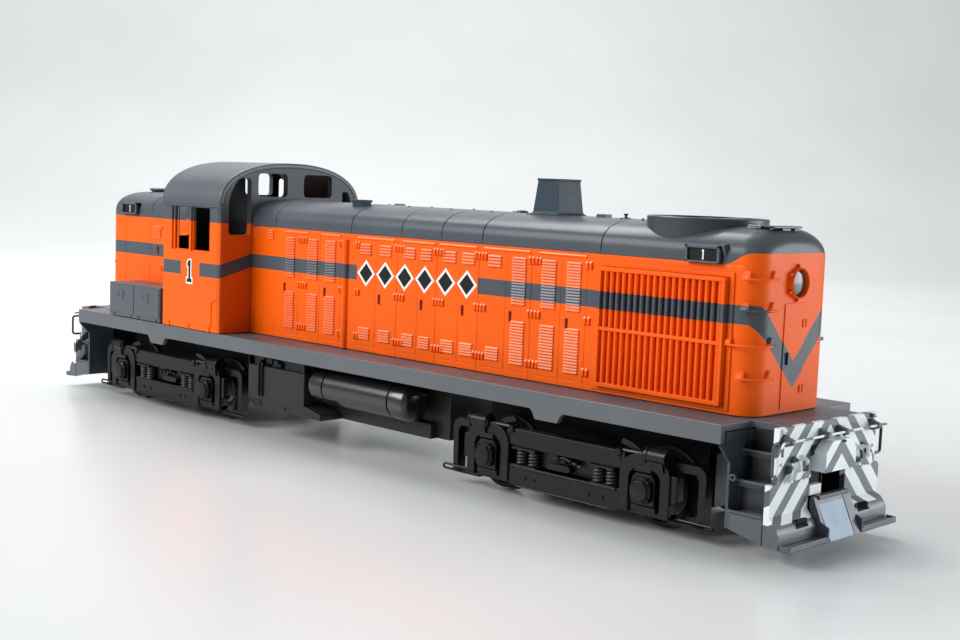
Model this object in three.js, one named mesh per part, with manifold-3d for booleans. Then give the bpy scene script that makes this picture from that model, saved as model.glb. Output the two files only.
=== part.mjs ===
// A model diesel locomotive of the road-switcher kind, in O scale: a long hood, a cab and a short hood
// on a frame with end steps, two swivelling four-wheel trucks, and a motor that drives one axle of each.
// Millimetres. +X points to the long-hood end, +Z up, and the wheel flanges stand on z = 0.
import * as THREE from "three";
import { mergeVertices } from "three/addons/utils/BufferGeometryUtils.js";
import Module from "manifold-3d";

const wasm = await Module();
wasm.setup();

// ---------- driving dimensions ----------
const GAP = 0.3; // between neighbouring pieces
const WALL = 1.5; // moulded shell thickness

const DECK_TOP = 34.8;
const DECK_THICK = 2;
const SILL_BOTTOM = 29.6;
const SILL_THICK = 2;
const HALF_WIDTH = 32;
const WELL_X = 161.2; // inboard sheet of each step well
const PILOT_X = 173.5; // face of each pilot
const PILOT_THICK = 1.6;
const PORCH_HALF = 18.3; // deck between the step wells

const HOOD_HALF = 18.3;
const HOOD_SHOULDER = 76; // where the roof curve starts
const HOOD_TOP = 84.6;
const HOOD_CORNER = 6.2;
const LONG_HOOD_END = 160.8;
const SHORT_HOOD_END = -160.2;

const CAB_REAR = -97.45;
const CAB_FRONT = -59.4;
const CAB_HALF = 32.4;
const CAB_EAVE = 81.6;
const CAB_TOP = 98.1;

const TRUCK_X = 104;
const WHEELBASE = 59.4;
const FLANGE_R = 11.6;
const TREAD_R = 10.6;
const AXLE_R = 1.5;
const WHEEL_BACK = 14.9; // half the back-to-back distance of 32 mm gauge
const WHEEL_FACE = 19.4;
const MOTOR_X = 19; // from the truck's pivot, outboard
const GEAR_R = 7.4;
const WORM_R = 3;

const FAN_X = 131;
const FAN_R = 17.1;
const FAN_TOP = 86.3;
const HEADLIGHT_Z = 70;
const HEADLIGHT_R = 4.8;

const DECK_UNDER = DECK_TOP - DECK_THICK;
const HOOD_BASE = DECK_TOP + GAP;

const PAINT = {
  orange: new THREE.MeshStandardMaterial({ color: 0xf2601c, roughness: 0.38, metalness: 0 }),
  grey: new THREE.MeshStandardMaterial({ color: 0x666c74, roughness: 0.45, metalness: 0 }),
  striped: new THREE.MeshStandardMaterial({ color: 0xc4ccd0, roughness: 0.45, metalness: 0 }),
  black: new THREE.MeshStandardMaterial({ color: 0x34332f, roughness: 0.5, metalness: 0 }),
  steel: new THREE.MeshStandardMaterial({ color: 0x3a3936, roughness: 0.4, metalness: 0.8 }),
  brass: new THREE.MeshStandardMaterial({ color: 0xb08a45, roughness: 0.35, metalness: 0.9 }),
  lens: new THREE.MeshStandardMaterial({ color: 0x2a1712, roughness: 0.08, metalness: 0 }),
  board: new THREE.MeshStandardMaterial({ color: 0x1f5b34, roughness: 0.5, metalness: 0 }),
};

// ---------- solids ----------
function toSolid(geometry) {
  const bare = geometry.index ? geometry.toNonIndexed() : geometry.clone();
  bare.deleteAttribute("normal");
  bare.deleteAttribute("uv");
  const merged = mergeVertices(bare, 1e-4);
  return new wasm.Manifold(
    new wasm.Mesh({
      numProp: 3,
      vertProperties: merged.attributes.position.array,
      triVerts: new Uint32Array(merged.index.array),
    }),
  );
}

function toGeometry(solid) {
  const mesh = solid.getMesh();
  const indexed = new THREE.BufferGeometry()
    .setAttribute("position", new THREE.BufferAttribute(mesh.vertProperties, 3))
    .setIndex(new THREE.BufferAttribute(mesh.triVerts, 1));
  const flat = indexed.toNonIndexed();
  flat.computeVertexNormals();
  return flat;
}

const join = (...solids) => solids.reduce((all, one) => all.add(one));
const cut = (solid, ...tools) => tools.reduce((left, tool) => left.subtract(tool), solid);

function block(x0, x1, y0, y1, z0, z1) {
  const size = [Math.abs(x1 - x0), Math.abs(y1 - y0), Math.abs(z1 - z0)];
  const middle = [(x0 + x1) / 2, (y0 + y1) / 2, (z0 + z1) / 2];
  return toSolid(new THREE.BoxGeometry(...size).translate(...middle));
}

function prism(points, depth, matrix) {
  const shape = new THREE.Shape(points.map(([a, b]) => new THREE.Vector2(a, b)));
  const geometry = new THREE.ExtrudeGeometry(shape, { depth, bevelEnabled: false });
  return toSolid(geometry.applyMatrix4(matrix));
}

const X_AXIS = new THREE.Vector3(1, 0, 0);
const Y_AXIS = new THREE.Vector3(0, 1, 0);
const Z_AXIS = new THREE.Vector3(0, 0, 1);

// An outline of [y, z] points, from x0 to x1.
function prismX(points, x0, x1) {
  const matrix = new THREE.Matrix4().makeBasis(Y_AXIS, Z_AXIS, X_AXIS).setPosition(x0, 0, 0);
  return prism(points, x1 - x0, matrix);
}

// An outline of [x, z] points, from y0 to y1.
function prismY(points, y0, y1) {
  const matrix = new THREE.Matrix4().makeBasis(X_AXIS, Z_AXIS, Y_AXIS.clone().negate());
  return prism(points, y1 - y0, matrix.setPosition(0, y1, 0));
}

// An outline of [x, y] points, from z0 to z1.
function prismZ(points, z0, z1) {
  return prism(points, z1 - z0, new THREE.Matrix4().setPosition(0, 0, z0));
}

// A round bar along "x", "y" or "z", from one end to the other, with its other two coordinates in order.
function rod(axis, radius, from, to, a, b, sides = 14) {
  const geometry = new THREE.CylinderGeometry(radius, radius, to - from, sides);
  const middle = (from + to) / 2;
  if (axis === "x") return toSolid(geometry.rotateZ(-Math.PI / 2).translate(middle, a, b));
  if (axis === "y") return toSolid(geometry.translate(a, middle, b));
  return toSolid(geometry.rotateX(Math.PI / 2).translate(a, b, middle));
}

// A turned shape about the Y axis, from an outline of [radius, height] points that goes up.
function lathe(points, sides) {
  const outline = points.map(([radius, height]) => new THREE.Vector2(radius, height));
  return new THREE.LatheGeometry(outline, sides);
}

const turned = (points, sides) => toSolid(lathe(points, sides));

// The rounded arch of a roof: a superellipse from (half, base) over the top to (-half, base).
function arch(half, base, top, exponent, steps) {
  return Array.from({ length: steps + 1 }, (_, i) => {
    const angle = (i / steps) * Math.PI;
    const across = Math.cos(angle);
    const y = half * Math.sign(across) * Math.abs(across) ** (2 / exponent);
    return [y, base + (top - base) * Math.abs(Math.sin(angle)) ** (2 / exponent)];
  });
}

// Points of a quarter turn about (a, b), from angle start, counter-clockwise.
function quarter(a, b, radius, start, steps = 6) {
  return Array.from({ length: steps + 1 }, (_, i) => {
    const angle = start + (i / steps) * (Math.PI / 2);
    return [a + radius * Math.cos(angle), b + radius * Math.sin(angle)];
  });
}

const locomotive = new THREE.Group();

function place(parent, name, solid, finish) {
  const mesh = new THREE.Mesh(toGeometry(solid), finish);
  mesh.name = name;
  parent.add(mesh);
  return mesh;
}

// ---------- frame ----------
const PIVOT_BOSS_BOTTOM = 28;
const PIVOT_BOSS_R = 6;
const KINGPIN_R = 1.5;
const KINGPIN_TOP = 31.7;

function frame() {
  const deck = block(-WELL_X, WELL_X, -HALF_WIDTH, HALF_WIDTH, DECK_UNDER, DECK_TOP);
  const pieces = [deck];
  const padHalf = 5.3;
  const padDrop = 2.9;
  for (const side of [-1, 1]) {
    const inner = side * (HALF_WIDTH - SILL_THICK);
    pieces.push(block(-WELL_X, WELL_X, inner, side * HALF_WIDTH, SILL_BOTTOM, DECK_UNDER));
    for (const padX of [-101.5, 101.5]) {
      const pad = [
        [padX - padHalf - 1, SILL_BOTTOM],
        [padX - padHalf, SILL_BOTTOM - 1],
        [padX - padHalf + 1, SILL_BOTTOM - padDrop],
        [padX + padHalf - 1, SILL_BOTTOM - padDrop],
        [padX + padHalf, SILL_BOTTOM - 1],
        [padX + padHalf + 1, SILL_BOTTOM],
      ];
      const near = Math.min(inner, side * HALF_WIDTH);
      pieces.push(prismY(pad, near, near + SILL_THICK));
    }
  }
  const beamHalf = 9;
  const motorHalf = 13;
  const motorOpening = [TRUCK_X + 8, TRUCK_X + 30];
  pieces.push(block(-motorOpening[0], motorOpening[0], -beamHalf, beamHalf, SILL_BOTTOM, DECK_UNDER));
  for (const end of [-1, 1]) {
    const porchEnd = end * (PILOT_X - PILOT_THICK - GAP);
    pieces.push(block(end * WELL_X, porchEnd, -PORCH_HALF, PORCH_HALF, DECK_UNDER, DECK_TOP));
    pieces.push(block(end * motorOpening[1], porchEnd, -beamHalf, beamHalf, SILL_BOTTOM, DECK_UNDER));
    pieces.push(rod("z", PIVOT_BOSS_R, PIVOT_BOSS_BOTTOM, DECK_UNDER, end * TRUCK_X, 0));
  }
  let solid = join(...pieces);
  for (const end of [-1, 1]) {
    const bore = rod("z", KINGPIN_R + GAP, 0, KINGPIN_TOP + GAP, end * TRUCK_X, 0);
    const [opening, beyond] = motorOpening.map((x) => end * x);
    const motor = block(opening, beyond, -motorHalf, motorHalf, 0, DECK_TOP + 1);
    solid = cut(solid, bore, motor);
  }
  return solid;
}

place(locomotive, "frame", frame(), PAINT.grey);

// ---------- hoods ----------
const ROOF_EXPONENT = 2.6;

// The solid outline of a hood that reaches from a square end to a rounded end, grown by some amount.
function hoodForm(squareEnd, roundEnd, grow, bottom) {
  const half = HOOD_HALF + grow;
  const top = HOOD_TOP + grow;
  const way = Math.sign(roundEnd - squareEnd);
  const end = roundEnd + way * grow;
  const corner = HOOD_CORNER + grow;
  const section = [[-half, bottom], [half, bottom], ...arch(half, HOOD_SHOULDER, top, ROOF_EXPONENT, 20)];
  const low = Math.min(squareEnd, end);
  const high = Math.max(squareEnd, end);
  const along = prismX(section, low, high);
  const turn = (x) => (way > 0 ? x : -x); // outlines are drawn towards +X and turned for the other end
  const far = Math.abs(end);
  const start = turn(squareEnd);
  const plan = [
    [start, -half],
    ...quarter(far - corner, -half + corner, corner, -Math.PI / 2),
    ...quarter(far - corner, half - corner, corner, 0),
    [start, half],
  ];
  const side = [
    [start, bottom],
    [far, bottom],
    ...quarter(far - corner, top - corner, corner, 0),
    [start, top + 1],
  ];
  const flip = ([x, other]) => [turn(x), other];
  const fromAbove = prismZ(plan.map(flip), bottom, top + 1);
  const fromSide = prismY(side.map(flip), -half - 1, half + 1);
  return along.intersect(fromAbove).intersect(fromSide);
}

function hood(squareEnd, roundEnd) {
  const way = Math.sign(roundEnd - squareEnd);
  const outside = hoodForm(squareEnd, roundEnd, 0, HOOD_BASE);
  const inside = hoodForm(squareEnd + way * WALL, roundEnd, -WALL, HOOD_BASE - 1);
  const light = rod("x", HEADLIGHT_R - 1.2, roundEnd - 4, roundEnd + 4, 0, HEADLIGHT_Z);
  return cut(outside, inside, light);
}

const longHood = cut(
  hood(CAB_FRONT + GAP, LONG_HOOD_END),
  rod("z", FAN_R - 3, HOOD_SHOULDER, HOOD_TOP + 2, FAN_X, 0, 32),
);
place(locomotive, "long_hood", longHood, PAINT.orange);
place(locomotive, "short_hood", hood(CAB_REAR - GAP, SHORT_HOOD_END), PAINT.orange);

// ---------- cab ----------
const CAB_EXPONENT = 2.3;
const ROOF_SKIN = 1.5;
const WINDOW_SILL = 64.3;
const CAB_FLOOR_Z = 42;
const CAB_CORNER = 1.4;
const END_WALL = 2.6; // the cab's end walls are thicker than its sides

// The window holes of each end wall: [inner edge, outer edge], and for an arched one its bottom and top.
const CAB_WINDOWS = {
  front: {
    plain: [[-2.4, -15.8], [5.3, 18.9]],
    arched: [[-19, -28.8, 71.1, 92], [24.3, 29.4, 71.1, 88]],
  },
  rear: {
    plain: [[-4.3, -17.4], [3.7, 17.2]],
    arched: [[-21.9, -28.6, 69.2, 91], [20.2, 28.6, 71.1, 92.2]],
  },
};

// A window outline with its corners rounded; every corner is listed with its own radius.
function softened(corners, steps = 4) {
  const points = [];
  corners.forEach(([a, b, radius], i) => {
    const before = corners.at(i - 1);
    const after = corners[(i + 1) % corners.length];
    const here = new THREE.Vector2(a, b);
    const back = new THREE.Vector2(before[0], before[1]).sub(here).setLength(radius).add(here);
    const on = new THREE.Vector2(after[0], after[1]).sub(here).setLength(radius).add(here);
    const bend = new THREE.QuadraticBezierCurve(back, here, on);
    points.push(...bend.getPoints(steps).map((point) => [point.x, point.y]));
  });
  return points;
}

function cabBody() {
  const shoulder = CAB_EAVE - GAP;
  const archHalf = CAB_HALF - ROOF_SKIN + 0.1;
  const archTop = CAB_TOP - ROOF_SKIN - GAP;
  const endWall = [
    [-CAB_HALF, HOOD_BASE],
    [CAB_HALF, HOOD_BASE],
    [CAB_HALF, shoulder],
    ...arch(archHalf, CAB_EAVE, archTop, CAB_EXPONENT, 24),
    [-CAB_HALF, shoulder],
  ];
  const walls = [
    prismX(endWall, CAB_REAR, CAB_REAR + END_WALL),
    prismX(endWall, CAB_FRONT - END_WALL, CAB_FRONT),
  ];
  for (const side of [-1, 1]) {
    walls.push(block(CAB_REAR, CAB_FRONT, side * (CAB_HALF - WALL), side * CAB_HALF, HOOD_BASE, shoulder));
  }
  const plan = softened([
    [CAB_REAR, -CAB_HALF, CAB_CORNER],
    [CAB_FRONT, -CAB_HALF, CAB_CORNER],
    [CAB_FRONT, CAB_HALF, CAB_CORNER],
    [CAB_REAR, CAB_HALF, CAB_CORNER],
  ]);
  let solid = join(...walls).intersect(prismZ(plan, 0, CAB_TOP));
  const sideGlass = [[-91.2, -79.5], [-78.3, -66.1]];
  for (const [from, to] of sideGlass) {
    solid = cut(solid, block(from, to, -CAB_HALF - 1, CAB_HALF + 1, WINDOW_SILL, CAB_EAVE - 0.8));
  }
  for (const [end, wall] of [["front", CAB_FRONT], ["rear", CAB_REAR]]) {
    const { plain, arched } = CAB_WINDOWS[end];
    const hole = (corners) => prismX(softened(corners), wall - END_WALL - 1, wall + END_WALL + 1);
    for (const [inner, outer] of plain) {
      const [low, high, corner] = [85.4, 94, 1.8];
      solid = cut(
        solid,
        hole([
          [inner, low, corner],
          [outer, low, corner],
          [outer, high, corner],
          [inner, high, corner],
        ]),
      );
    }
    for (const [inner, outer, low, high] of arched) {
      const width = outer - inner;
      solid = cut(
        solid,
        hole([
          [inner, low, 1.6],
          [outer, low, 1.6],
          [outer, high - 6.2, 4],
          [outer - width * 0.45, high, Math.abs(width) * 0.2],
          [inner, high, Math.abs(width) * 0.15],
        ]),
      );
    }
  }
  return solid;
}

function cabRoof() {
  const overhang = 0.8;
  const rail = 0.5;
  const outline = arch(CAB_HALF + rail, CAB_EAVE, CAB_TOP, CAB_EXPONENT, 28);
  const hollow = arch(CAB_HALF + rail - ROOF_SKIN, CAB_EAVE - 1, CAB_TOP - ROOF_SKIN, CAB_EXPONENT, 28);
  const outside = prismX(outline, CAB_REAR - overhang, CAB_FRONT + overhang);
  return cut(outside, prismX(hollow, CAB_REAR - 5, CAB_FRONT + 5));
}

place(locomotive, "cab_body", cabBody(), PAINT.orange);
place(locomotive, "cab_roof", cabRoof(), PAINT.grey);
const floorEdge = WALL + GAP;
const floorEnd = END_WALL + GAP;
const cabFloor = block(
  CAB_REAR + floorEnd,
  CAB_FRONT - floorEnd,
  -CAB_HALF + floorEdge,
  CAB_HALF - floorEdge,
  CAB_FLOOR_Z,
  CAB_FLOOR_Z + WALL,
);
place(locomotive, "cab_floor", cabFloor, PAINT.black);

// ---------- fittings on the hoods ----------
const GRILLE = { x0: 108, x1: 153, z0: 36.2, z1: 72.4, fins: 19 };

function radiatorGrille(side) {
  const { x0, x1, z0, z1, fins } = GRILLE;
  const inner = HOOD_HALF + GAP;
  const back = inner + 0.6;
  const face = inner + 1.7;
  const rim = 1.6;
  const slab = (a, b, c, d, depth) => block(a, b, side * inner, side * depth, c, d);
  const pieces = [
    slab(x0, x1, z0, z1, back),
    slab(x0, x1, z0, z0 + rim, face),
    slab(x0, x1, z1 - rim, z1, face),
    slab(x0, x0 + rim, z0, z1, face),
    slab(x1 - rim, x1, z0, z1, face),
    slab(x0, x1, 53.1, 54.3, face),
  ];
  const pitch = (x1 - x0 - 2 * rim) / fins;
  for (let i = 0; i < fins; i += 1) {
    const x = x0 + rim + pitch * (i + 0.5);
    pieces.push(slab(x - 0.5, x + 0.5, z0, z1, face - 0.3));
  }
  return join(...pieces);
}

for (const [word, side] of [["right", -1], ["left", 1]]) {
  place(locomotive, `radiator_grille_${word}`, radiatorGrille(side), PAINT.orange);
}

function fanShroud() {
  const wall = 1.5;
  const ring = cut(
    rod("z", FAN_R, HOOD_SHOULDER, FAN_TOP, FAN_X, 0, 32),
    rod("z", FAN_R - wall, HOOD_SHOULDER - 1, FAN_TOP + 1, FAN_X, 0, 32),
  );
  const guardTop = FAN_TOP - 0.4;
  const guard = [];
  const hoop = cut(
    rod("z", 8.4, guardTop - 1, guardTop, FAN_X, 0, 24),
    rod("z", 7.4, 0, 100, FAN_X, 0, 24),
  );
  guard.push(hoop);
  for (const angle of [0, 60, 120]) {
    const bar = new THREE.BoxGeometry(2 * FAN_R - 1, 1, 1);
    bar.rotateZ(THREE.MathUtils.degToRad(angle)).translate(FAN_X, 0, guardTop - 0.5);
    guard.push(toSolid(bar));
  }
  const roof = hoodForm(CAB_FRONT, LONG_HOOD_END, GAP, 0);
  return join(cut(ring, roof), ...guard);
}
place(locomotive, "radiator_fan_shroud", fanShroud(), PAINT.grey);

function exhaustStack() {
  const base = HOOD_TOP + GAP;
  const top = 95.6;
  const middle = 74.75;
  const side = [
    [middle - 5.1, base],
    [middle + 5.1, base],
    [middle + 4.15, top],
    [middle - 4.15, top],
  ];
  const outside = prismY(side, -5.9, 5.9);
  return cut(outside, block(middle - 2.2, middle + 2.2, -4.4, 4.4, top - 6, top + 1));
}
place(locomotive, "exhaust_stack", exhaustStack(), PAINT.grey);

for (const [word, face, out] of [["front", LONG_HOOD_END, 1], ["rear", SHORT_HOOD_END, -1]]) {
  const along = (from, to) => [face + out * from, face + out * to].sort((a, b) => a - b);
  const [bezelFrom, bezelTo] = along(GAP, 1.7);
  const bezel = cut(
    rod("x", HEADLIGHT_R, bezelFrom, bezelTo, 0, HEADLIGHT_Z, 20),
    rod("x", HEADLIGHT_R - 1.2, bezelFrom - 1, bezelTo + 1, 0, HEADLIGHT_Z, 20),
  );
  place(locomotive, `headlight_bezel_${word}`, bezel, PAINT.orange);
  const lens = rod("x", HEADLIGHT_R - 1.5, ...along(-2, 1), 0, HEADLIGHT_Z);
  place(locomotive, `headlight_lens_${word}`, lens, PAINT.lens);
}

const NUMBER_BOARD = { length: 11.2, height: 3.9, depth: 1.3 };
for (const [end, x, z0] of [["front", 143.6, 74.9], ["rear", -143, 75.8]]) {
  for (const [word, side] of [["right", -1], ["left", 1]]) {
    const { length, height, depth } = NUMBER_BOARD;
    const inner = HOOD_HALF + GAP;
    const [x0, x1] = [x - length / 2, x + length / 2];
    const board = block(x0, x1, side * inner, side * (inner + depth), z0, z0 + height);
    place(locomotive, `number_board_${end}_${word}`, board, PAINT.grey);
  }
}

const BATTERY_BOX = { x0: -136.4, x1: -99.4, top: 48.5 };
for (const [word, side] of [["right", -1], ["left", 1]]) {
  const { x0, x1, top } = BATTERY_BOX;
  const box = block(x0, x1, side * (HOOD_HALF + GAP), side * HALF_WIDTH, HOOD_BASE, top);
  place(locomotive, `battery_box_${word}`, box, PAINT.grey);
}

// ---------- circuit board on its posts, inside the long hood ----------
function circuitBoard() {
  const pieces = [
    block(20, 80, -12, 12, 62, 63.6),
    block(30, 44, -6, 6, 63.6, 66),
    block(58, 66, -8, 2, 63.6, 68),
  ];
  for (const x of [23, 77]) {
    for (const y of [-10, 10]) pieces.push(rod("z", 1.5, HOOD_BASE, 62.5, x, y, 10));
  }
  return join(...pieces);
}
place(locomotive, "circuit_board", circuitBoard(), PAINT.board);

// ---------- fuel tank and air reservoirs ----------
const TANK_BOTTOM = 10.3;
const TANK_TOP = SILL_BOTTOM - GAP;
const TANK_HALF = 28;
const RESERVOIR = { r: 6.3, y: 22, z: 21.9, x0: -13.3, x1: 37.9, dome: 3.5 };

function fuelTank() {
  const girder = block(-46.5, 45.8, -15.2, 15.2, TANK_BOTTOM, TANK_TOP);
  const foot = block(-20, 40, -18.2, 18.2, TANK_BOTTOM, 15.2);
  const boxes = block(-46.5, -14, -TANK_HALF, TANK_HALF, 13.7, 25.4);
  const upper = block(-46.5, -14.6, -26, 26, 25, TANK_TOP);
  const panSide = [
    [-46.5, 14.2],
    [-46.5, 13],
    [-44.6, 11.2],
    [-41, TANK_BOTTOM],
    [-4.8, TANK_BOTTOM],
    [-4.8, 12.4],
    [-14, 14.2],
  ];
  const pan = prismY(panSide, -TANK_HALF, TANK_HALF);
  return join(girder, foot, boxes, upper, pan);
}
place(locomotive, "fuel_tank", fuelTank(), PAINT.black);

function reservoir(side) {
  const { r, y, z, x0, x1, dome } = RESERVOIR;
  const outline = [[0, x0]];
  for (const part of [0.35, 0.7, 0.92]) {
    outline.push([r * part, x0 + dome * (1 - Math.sqrt(1 - part * part))]);
  }
  outline.push([r, x0 + dome]);
  const mirrored = outline.map(([radius, x]) => [radius, x0 + x1 - x]).reverse();
  const tank = lathe([...outline, ...mirrored], 20);
  return toSolid(tank.rotateZ(-Math.PI / 2).translate(0, side * y, z));
}
for (const [word, side] of [["right", -1], ["left", 1]]) {
  place(locomotive, `air_reservoir_${word}`, reservoir(side), PAINT.black);
}

// ---------- one end of the frame: pilot, footboards, steps and small fittings ----------
const POCKET_HALF = 9.2;
const POCKET_TOP = 28.9;
const PILOT_BOTTOM = 4.6;
const TOE_X = 176.6; // the foot of each pilot stands this far out
const TOE_HALF = 27.3;

function pilot() {
  const slopeTop = 12.4;
  const half = [
    [24.5, DECK_TOP],
    [24.5, 20.6],
    [TOE_HALF, 20.6],
    [TOE_HALF, slopeTop - 1],
    [POCKET_HALF, slopeTop - 1],
    [POCKET_HALF, POCKET_TOP],
  ];
  const outline = [...half, ...half.map(([y, z]) => [-y, z]).reverse()];
  const plate = prismX(outline, PILOT_X - PILOT_THICK, PILOT_X);
  const toeSide = [
    [PILOT_X - PILOT_THICK, slopeTop],
    [PILOT_X, slopeTop],
    [TOE_X - 0.8, 9.8],
    [TOE_X, 8.2],
    [TOE_X, PILOT_BOTTOM],
    [TOE_X - PILOT_THICK, PILOT_BOTTOM],
    [TOE_X - PILOT_THICK, 7.4],
    [PILOT_X - PILOT_THICK, 10.4],
  ];
  const toeCheek = [
    [PILOT_X - PILOT_THICK, PILOT_BOTTOM + 0.2],
    [TOE_X - 0.5, PILOT_BOTTOM],
    [TOE_X - 0.5, 8.6],
    [PILOT_X - 0.5, 11.6],
    [PILOT_X - PILOT_THICK, 11.6],
  ];
  const toes = [];
  for (const side of [-1, 1]) {
    const toe = prismY(toeSide, ...[side * POCKET_HALF, side * TOE_HALF].sort((a, b) => a - b));
    const notch = block(PILOT_X - 1, TOE_X + 1, side * 12.6, side * 18.6, 8.8, 10.8);
    const cheek = prismY(toeCheek, ...[side * (TOE_HALF - 1), side * TOE_HALF].sort((a, b) => a - b));
    toes.push(cut(toe, notch), cheek);
  }
  const shield = [
    [-7.5, 22.1],
    [7.5, 22.1],
    [7.5, 27.4],
    [4.4, 30.2],
    [-4.4, 30.2],
    [-7.5, 27.4],
  ];
  return join(plate, prismX(shield, PILOT_X - PILOT_THICK, PILOT_X + 3.8), ...toes);
}

function footboards() {
  const front = 180;
  const bottom = 4.4;
  const chuteBack = PILOT_X + GAP;
  const gussetInner = POCKET_HALF - 1;
  const gussetOuter = POCKET_HALF - GAP;
  const gusset = [
    [chuteBack, 10.8],
    [front, 8.2],
    [front, bottom],
    [chuteBack, bottom],
  ];
  const pieces = [];
  for (const side of [-1, 1]) {
    pieces.push(block(TOE_X + GAP, front, side * gussetInner, side * TOE_HALF, bottom, bottom + 1.2));
    pieces.push(prismY(gusset, ...[side * gussetInner, side * gussetOuter].sort((a, b) => a - b)));
  }
  const chute = [
    [chuteBack, 15.4],
    [chuteBack + 1.2, 15.4],
    [front - 0.4, bottom],
    [front - 2, bottom - 0.6],
    [chuteBack, 12.6],
  ];
  pieces.push(prismY(chute, -gussetOuter, gussetOuter));
  return join(...pieces);
}

function stepWell(side) {
  const out = (y) => side * y;
  const behindSill = HALF_WIDTH - SILL_THICK - GAP;
  const sheetBottom = 7.4;
  const skirtBottom = 4.9; // where the skirt meets the pilot
  const sheet = [
    [out(16), sheetBottom],
    [out(27.3), sheetBottom],
    [out(27.3), 24.4],
    [out(HALF_WIDTH), SILL_BOTTOM - GAP],
    [out(behindSill), SILL_BOTTOM - GAP],
    [out(behindSill), DECK_UNDER - GAP],
    [out(16), DECK_UNDER - GAP],
  ];
  const near = WELL_X - 0.2;
  const far = PILOT_X - PILOT_THICK - GAP;
  const tread = (y, z) => block(near, far, out(16), out(y), z - 1.2, z);
  const riser = (y, z0, z1) => block(near, far, out(y - 1.2), out(y), z0, z1);
  const skirt = [
    [near, sheetBottom],
    [far, skirtBottom],
    [far, 11.8],
    [near, 11.8],
  ];
  return join(
    prismX(sheet, WELL_X - 0.8, WELL_X),
    prismY(skirt, ...[out(26.1), out(27.3)].sort((a, b) => a - b)),
    tread(27.3, 11.8),
    tread(24.8, 19.6),
    tread(21.9, 27.2),
    riser(23, 11.6, 18.8),
    riser(20.4, 19.4, 26.4),
    riser(18.6, 27, DECK_UNDER - GAP),
  );
}

function cutLever() {
  const z = 32;
  const x = PILOT_X + 2.7;
  const pieces = [rod("y", 0.5, -25, 25, x, z, 8)];
  for (const y of [-19, -6, 6, 19]) {
    pieces.push(block(PILOT_X + GAP, x + 0.3, y - 0.6, y + 0.6, z - 1, z + 0.7));
  }
  return join(...pieces);
}

function grabIron() {
  const x = PILOT_X - 0.9;
  const bar = (y0, y1, z0, z1) => block(x - 0.45, x + 0.45, y0, y1, z0, z1);
  return join(bar(24.8, 28.4, 30.1, 31), bar(27.5, 28.4, 22.6, 31), bar(24.8, 28.4, 22.6, 23.5));
}

function endGroup(word, turn) {
  const end = new THREE.Group();
  end.rotation.z = turn;
  locomotive.add(end);
  place(end, `pilot_${word}`, pilot(), PAINT.striped);
  place(end, `footboards_${word}`, footboards(), PAINT.grey);
  place(end, `steps_${word}_a`, stepWell(-1), PAINT.grey);
  place(end, `steps_${word}_b`, stepWell(1), PAINT.grey);
  place(end, `uncoupling_lever_${word}`, cutLever(), PAINT.grey);
  place(end, `grab_iron_${word}`, grabIron(), PAINT.black);
}
endGroup("front", 0);
endGroup("rear", Math.PI);

// ---------- trucks ----------
const BLOCK_HALF = 6;
const BLOCK_TOP = 21;
const FRAME_INNER = 23;
const FRAME_FACE = 26.5;
const JOURNAL_FACE = 30;
const CAN_BOTTOM = 24;
const CAN_TOP = 50;

function gearbox() {
  const half = WHEELBASE / 2;
  const arm = (side) => block(-5, 5, side * (BLOCK_HALF - 1), side * (FRAME_INNER - 0.4), 12, 19.5);
  const solid = join(
    block(-half - 4.5, half + 8.8, -BLOCK_HALF, BLOCK_HALF, 6, BLOCK_TOP),
    arm(-1),
    arm(1),
    rod("z", 5, BLOCK_TOP - 1, PIVOT_BOSS_BOTTOM - GAP, 0, 0),
    rod("z", 8, BLOCK_TOP - 1, CAN_BOTTOM - GAP, MOTOR_X, 0, 18),
  );
  const cheek = 3.2;
  return cut(
    solid,
    rod("z", KINGPIN_R + 0.4, 0, 40, 0, 0),
    rod("z", KINGPIN_R + 2.1, 0, 16, 0, 0),
    block(half - GEAR_R - 0.8, half + GEAR_R + 0.8, -cheek, cheek, 0, 19.5),
    rod("z", WORM_R + 0.8, 0, 19.5, MOTOR_X, 0),
    rod("z", 1.5, 0, 40, MOTOR_X, 0),
    rod("y", AXLE_R + 0.3, -10, 10, half, FLANGE_R),
    rod("y", AXLE_R + 0.3, -10, 10, -half, FLANGE_R),
  );
}

// A cast side frame: two beams with a window between them, a pedestal and journal box over each axle.
function sideFrame(side) {
  const half = WHEELBASE / 2;
  const right = [
    [18, 4.2],
    [24, 4.8],
    [31, 6.8],
    [half + 10, 10],
    [half + 10, 18],
    [half + 8, 21.6],
    [half + 4, 22.4],
    [half - 6, 22.4],
    [half - 9, 21.6],
    [18.5, 21.5],
  ];
  const outline = [...right, ...right.map(([x, z]) => [-x, z]).reverse()];
  const near = Math.min(side * FRAME_INNER, side * FRAME_FACE);
  const depth = FRAME_FACE - FRAME_INNER;
  const casting = prismY(outline, near, near + depth);
  const window = block(-20.3, 20.3, -40, 40, 10.8, 16.3);
  const pieces = [cut(casting, window)];
  for (const end of [-1, 1]) {
    const face = [side * (FRAME_FACE - 0.5), side * JOURNAL_FACE].sort((a, b) => a - b);
    pieces.push(rod("y", 4.9, face[0], face[1], end * half, FLANGE_R + 0.6, 16));
    const cylinder = [end * (half + 1.5), end * (half + 8)].sort((a, b) => a - b);
    pieces.push(rod("x", 2.6, cylinder[0], cylinder[1], side * (FRAME_FACE - 0.5), 21.4, 12));
    const hangerFace = side * (FRAME_INNER + 1.5);
    const [root, tip] = [end * (half + 6), end * (half + 15)];
    pieces.push(block(root, tip, side * FRAME_INNER, hangerFace, 5.2, 6.6));
    pieces.push(block(root, root + end * 2, side * FRAME_INNER, hangerFace, 5.2, 11));
  }
  return join(...pieces);
}

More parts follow.
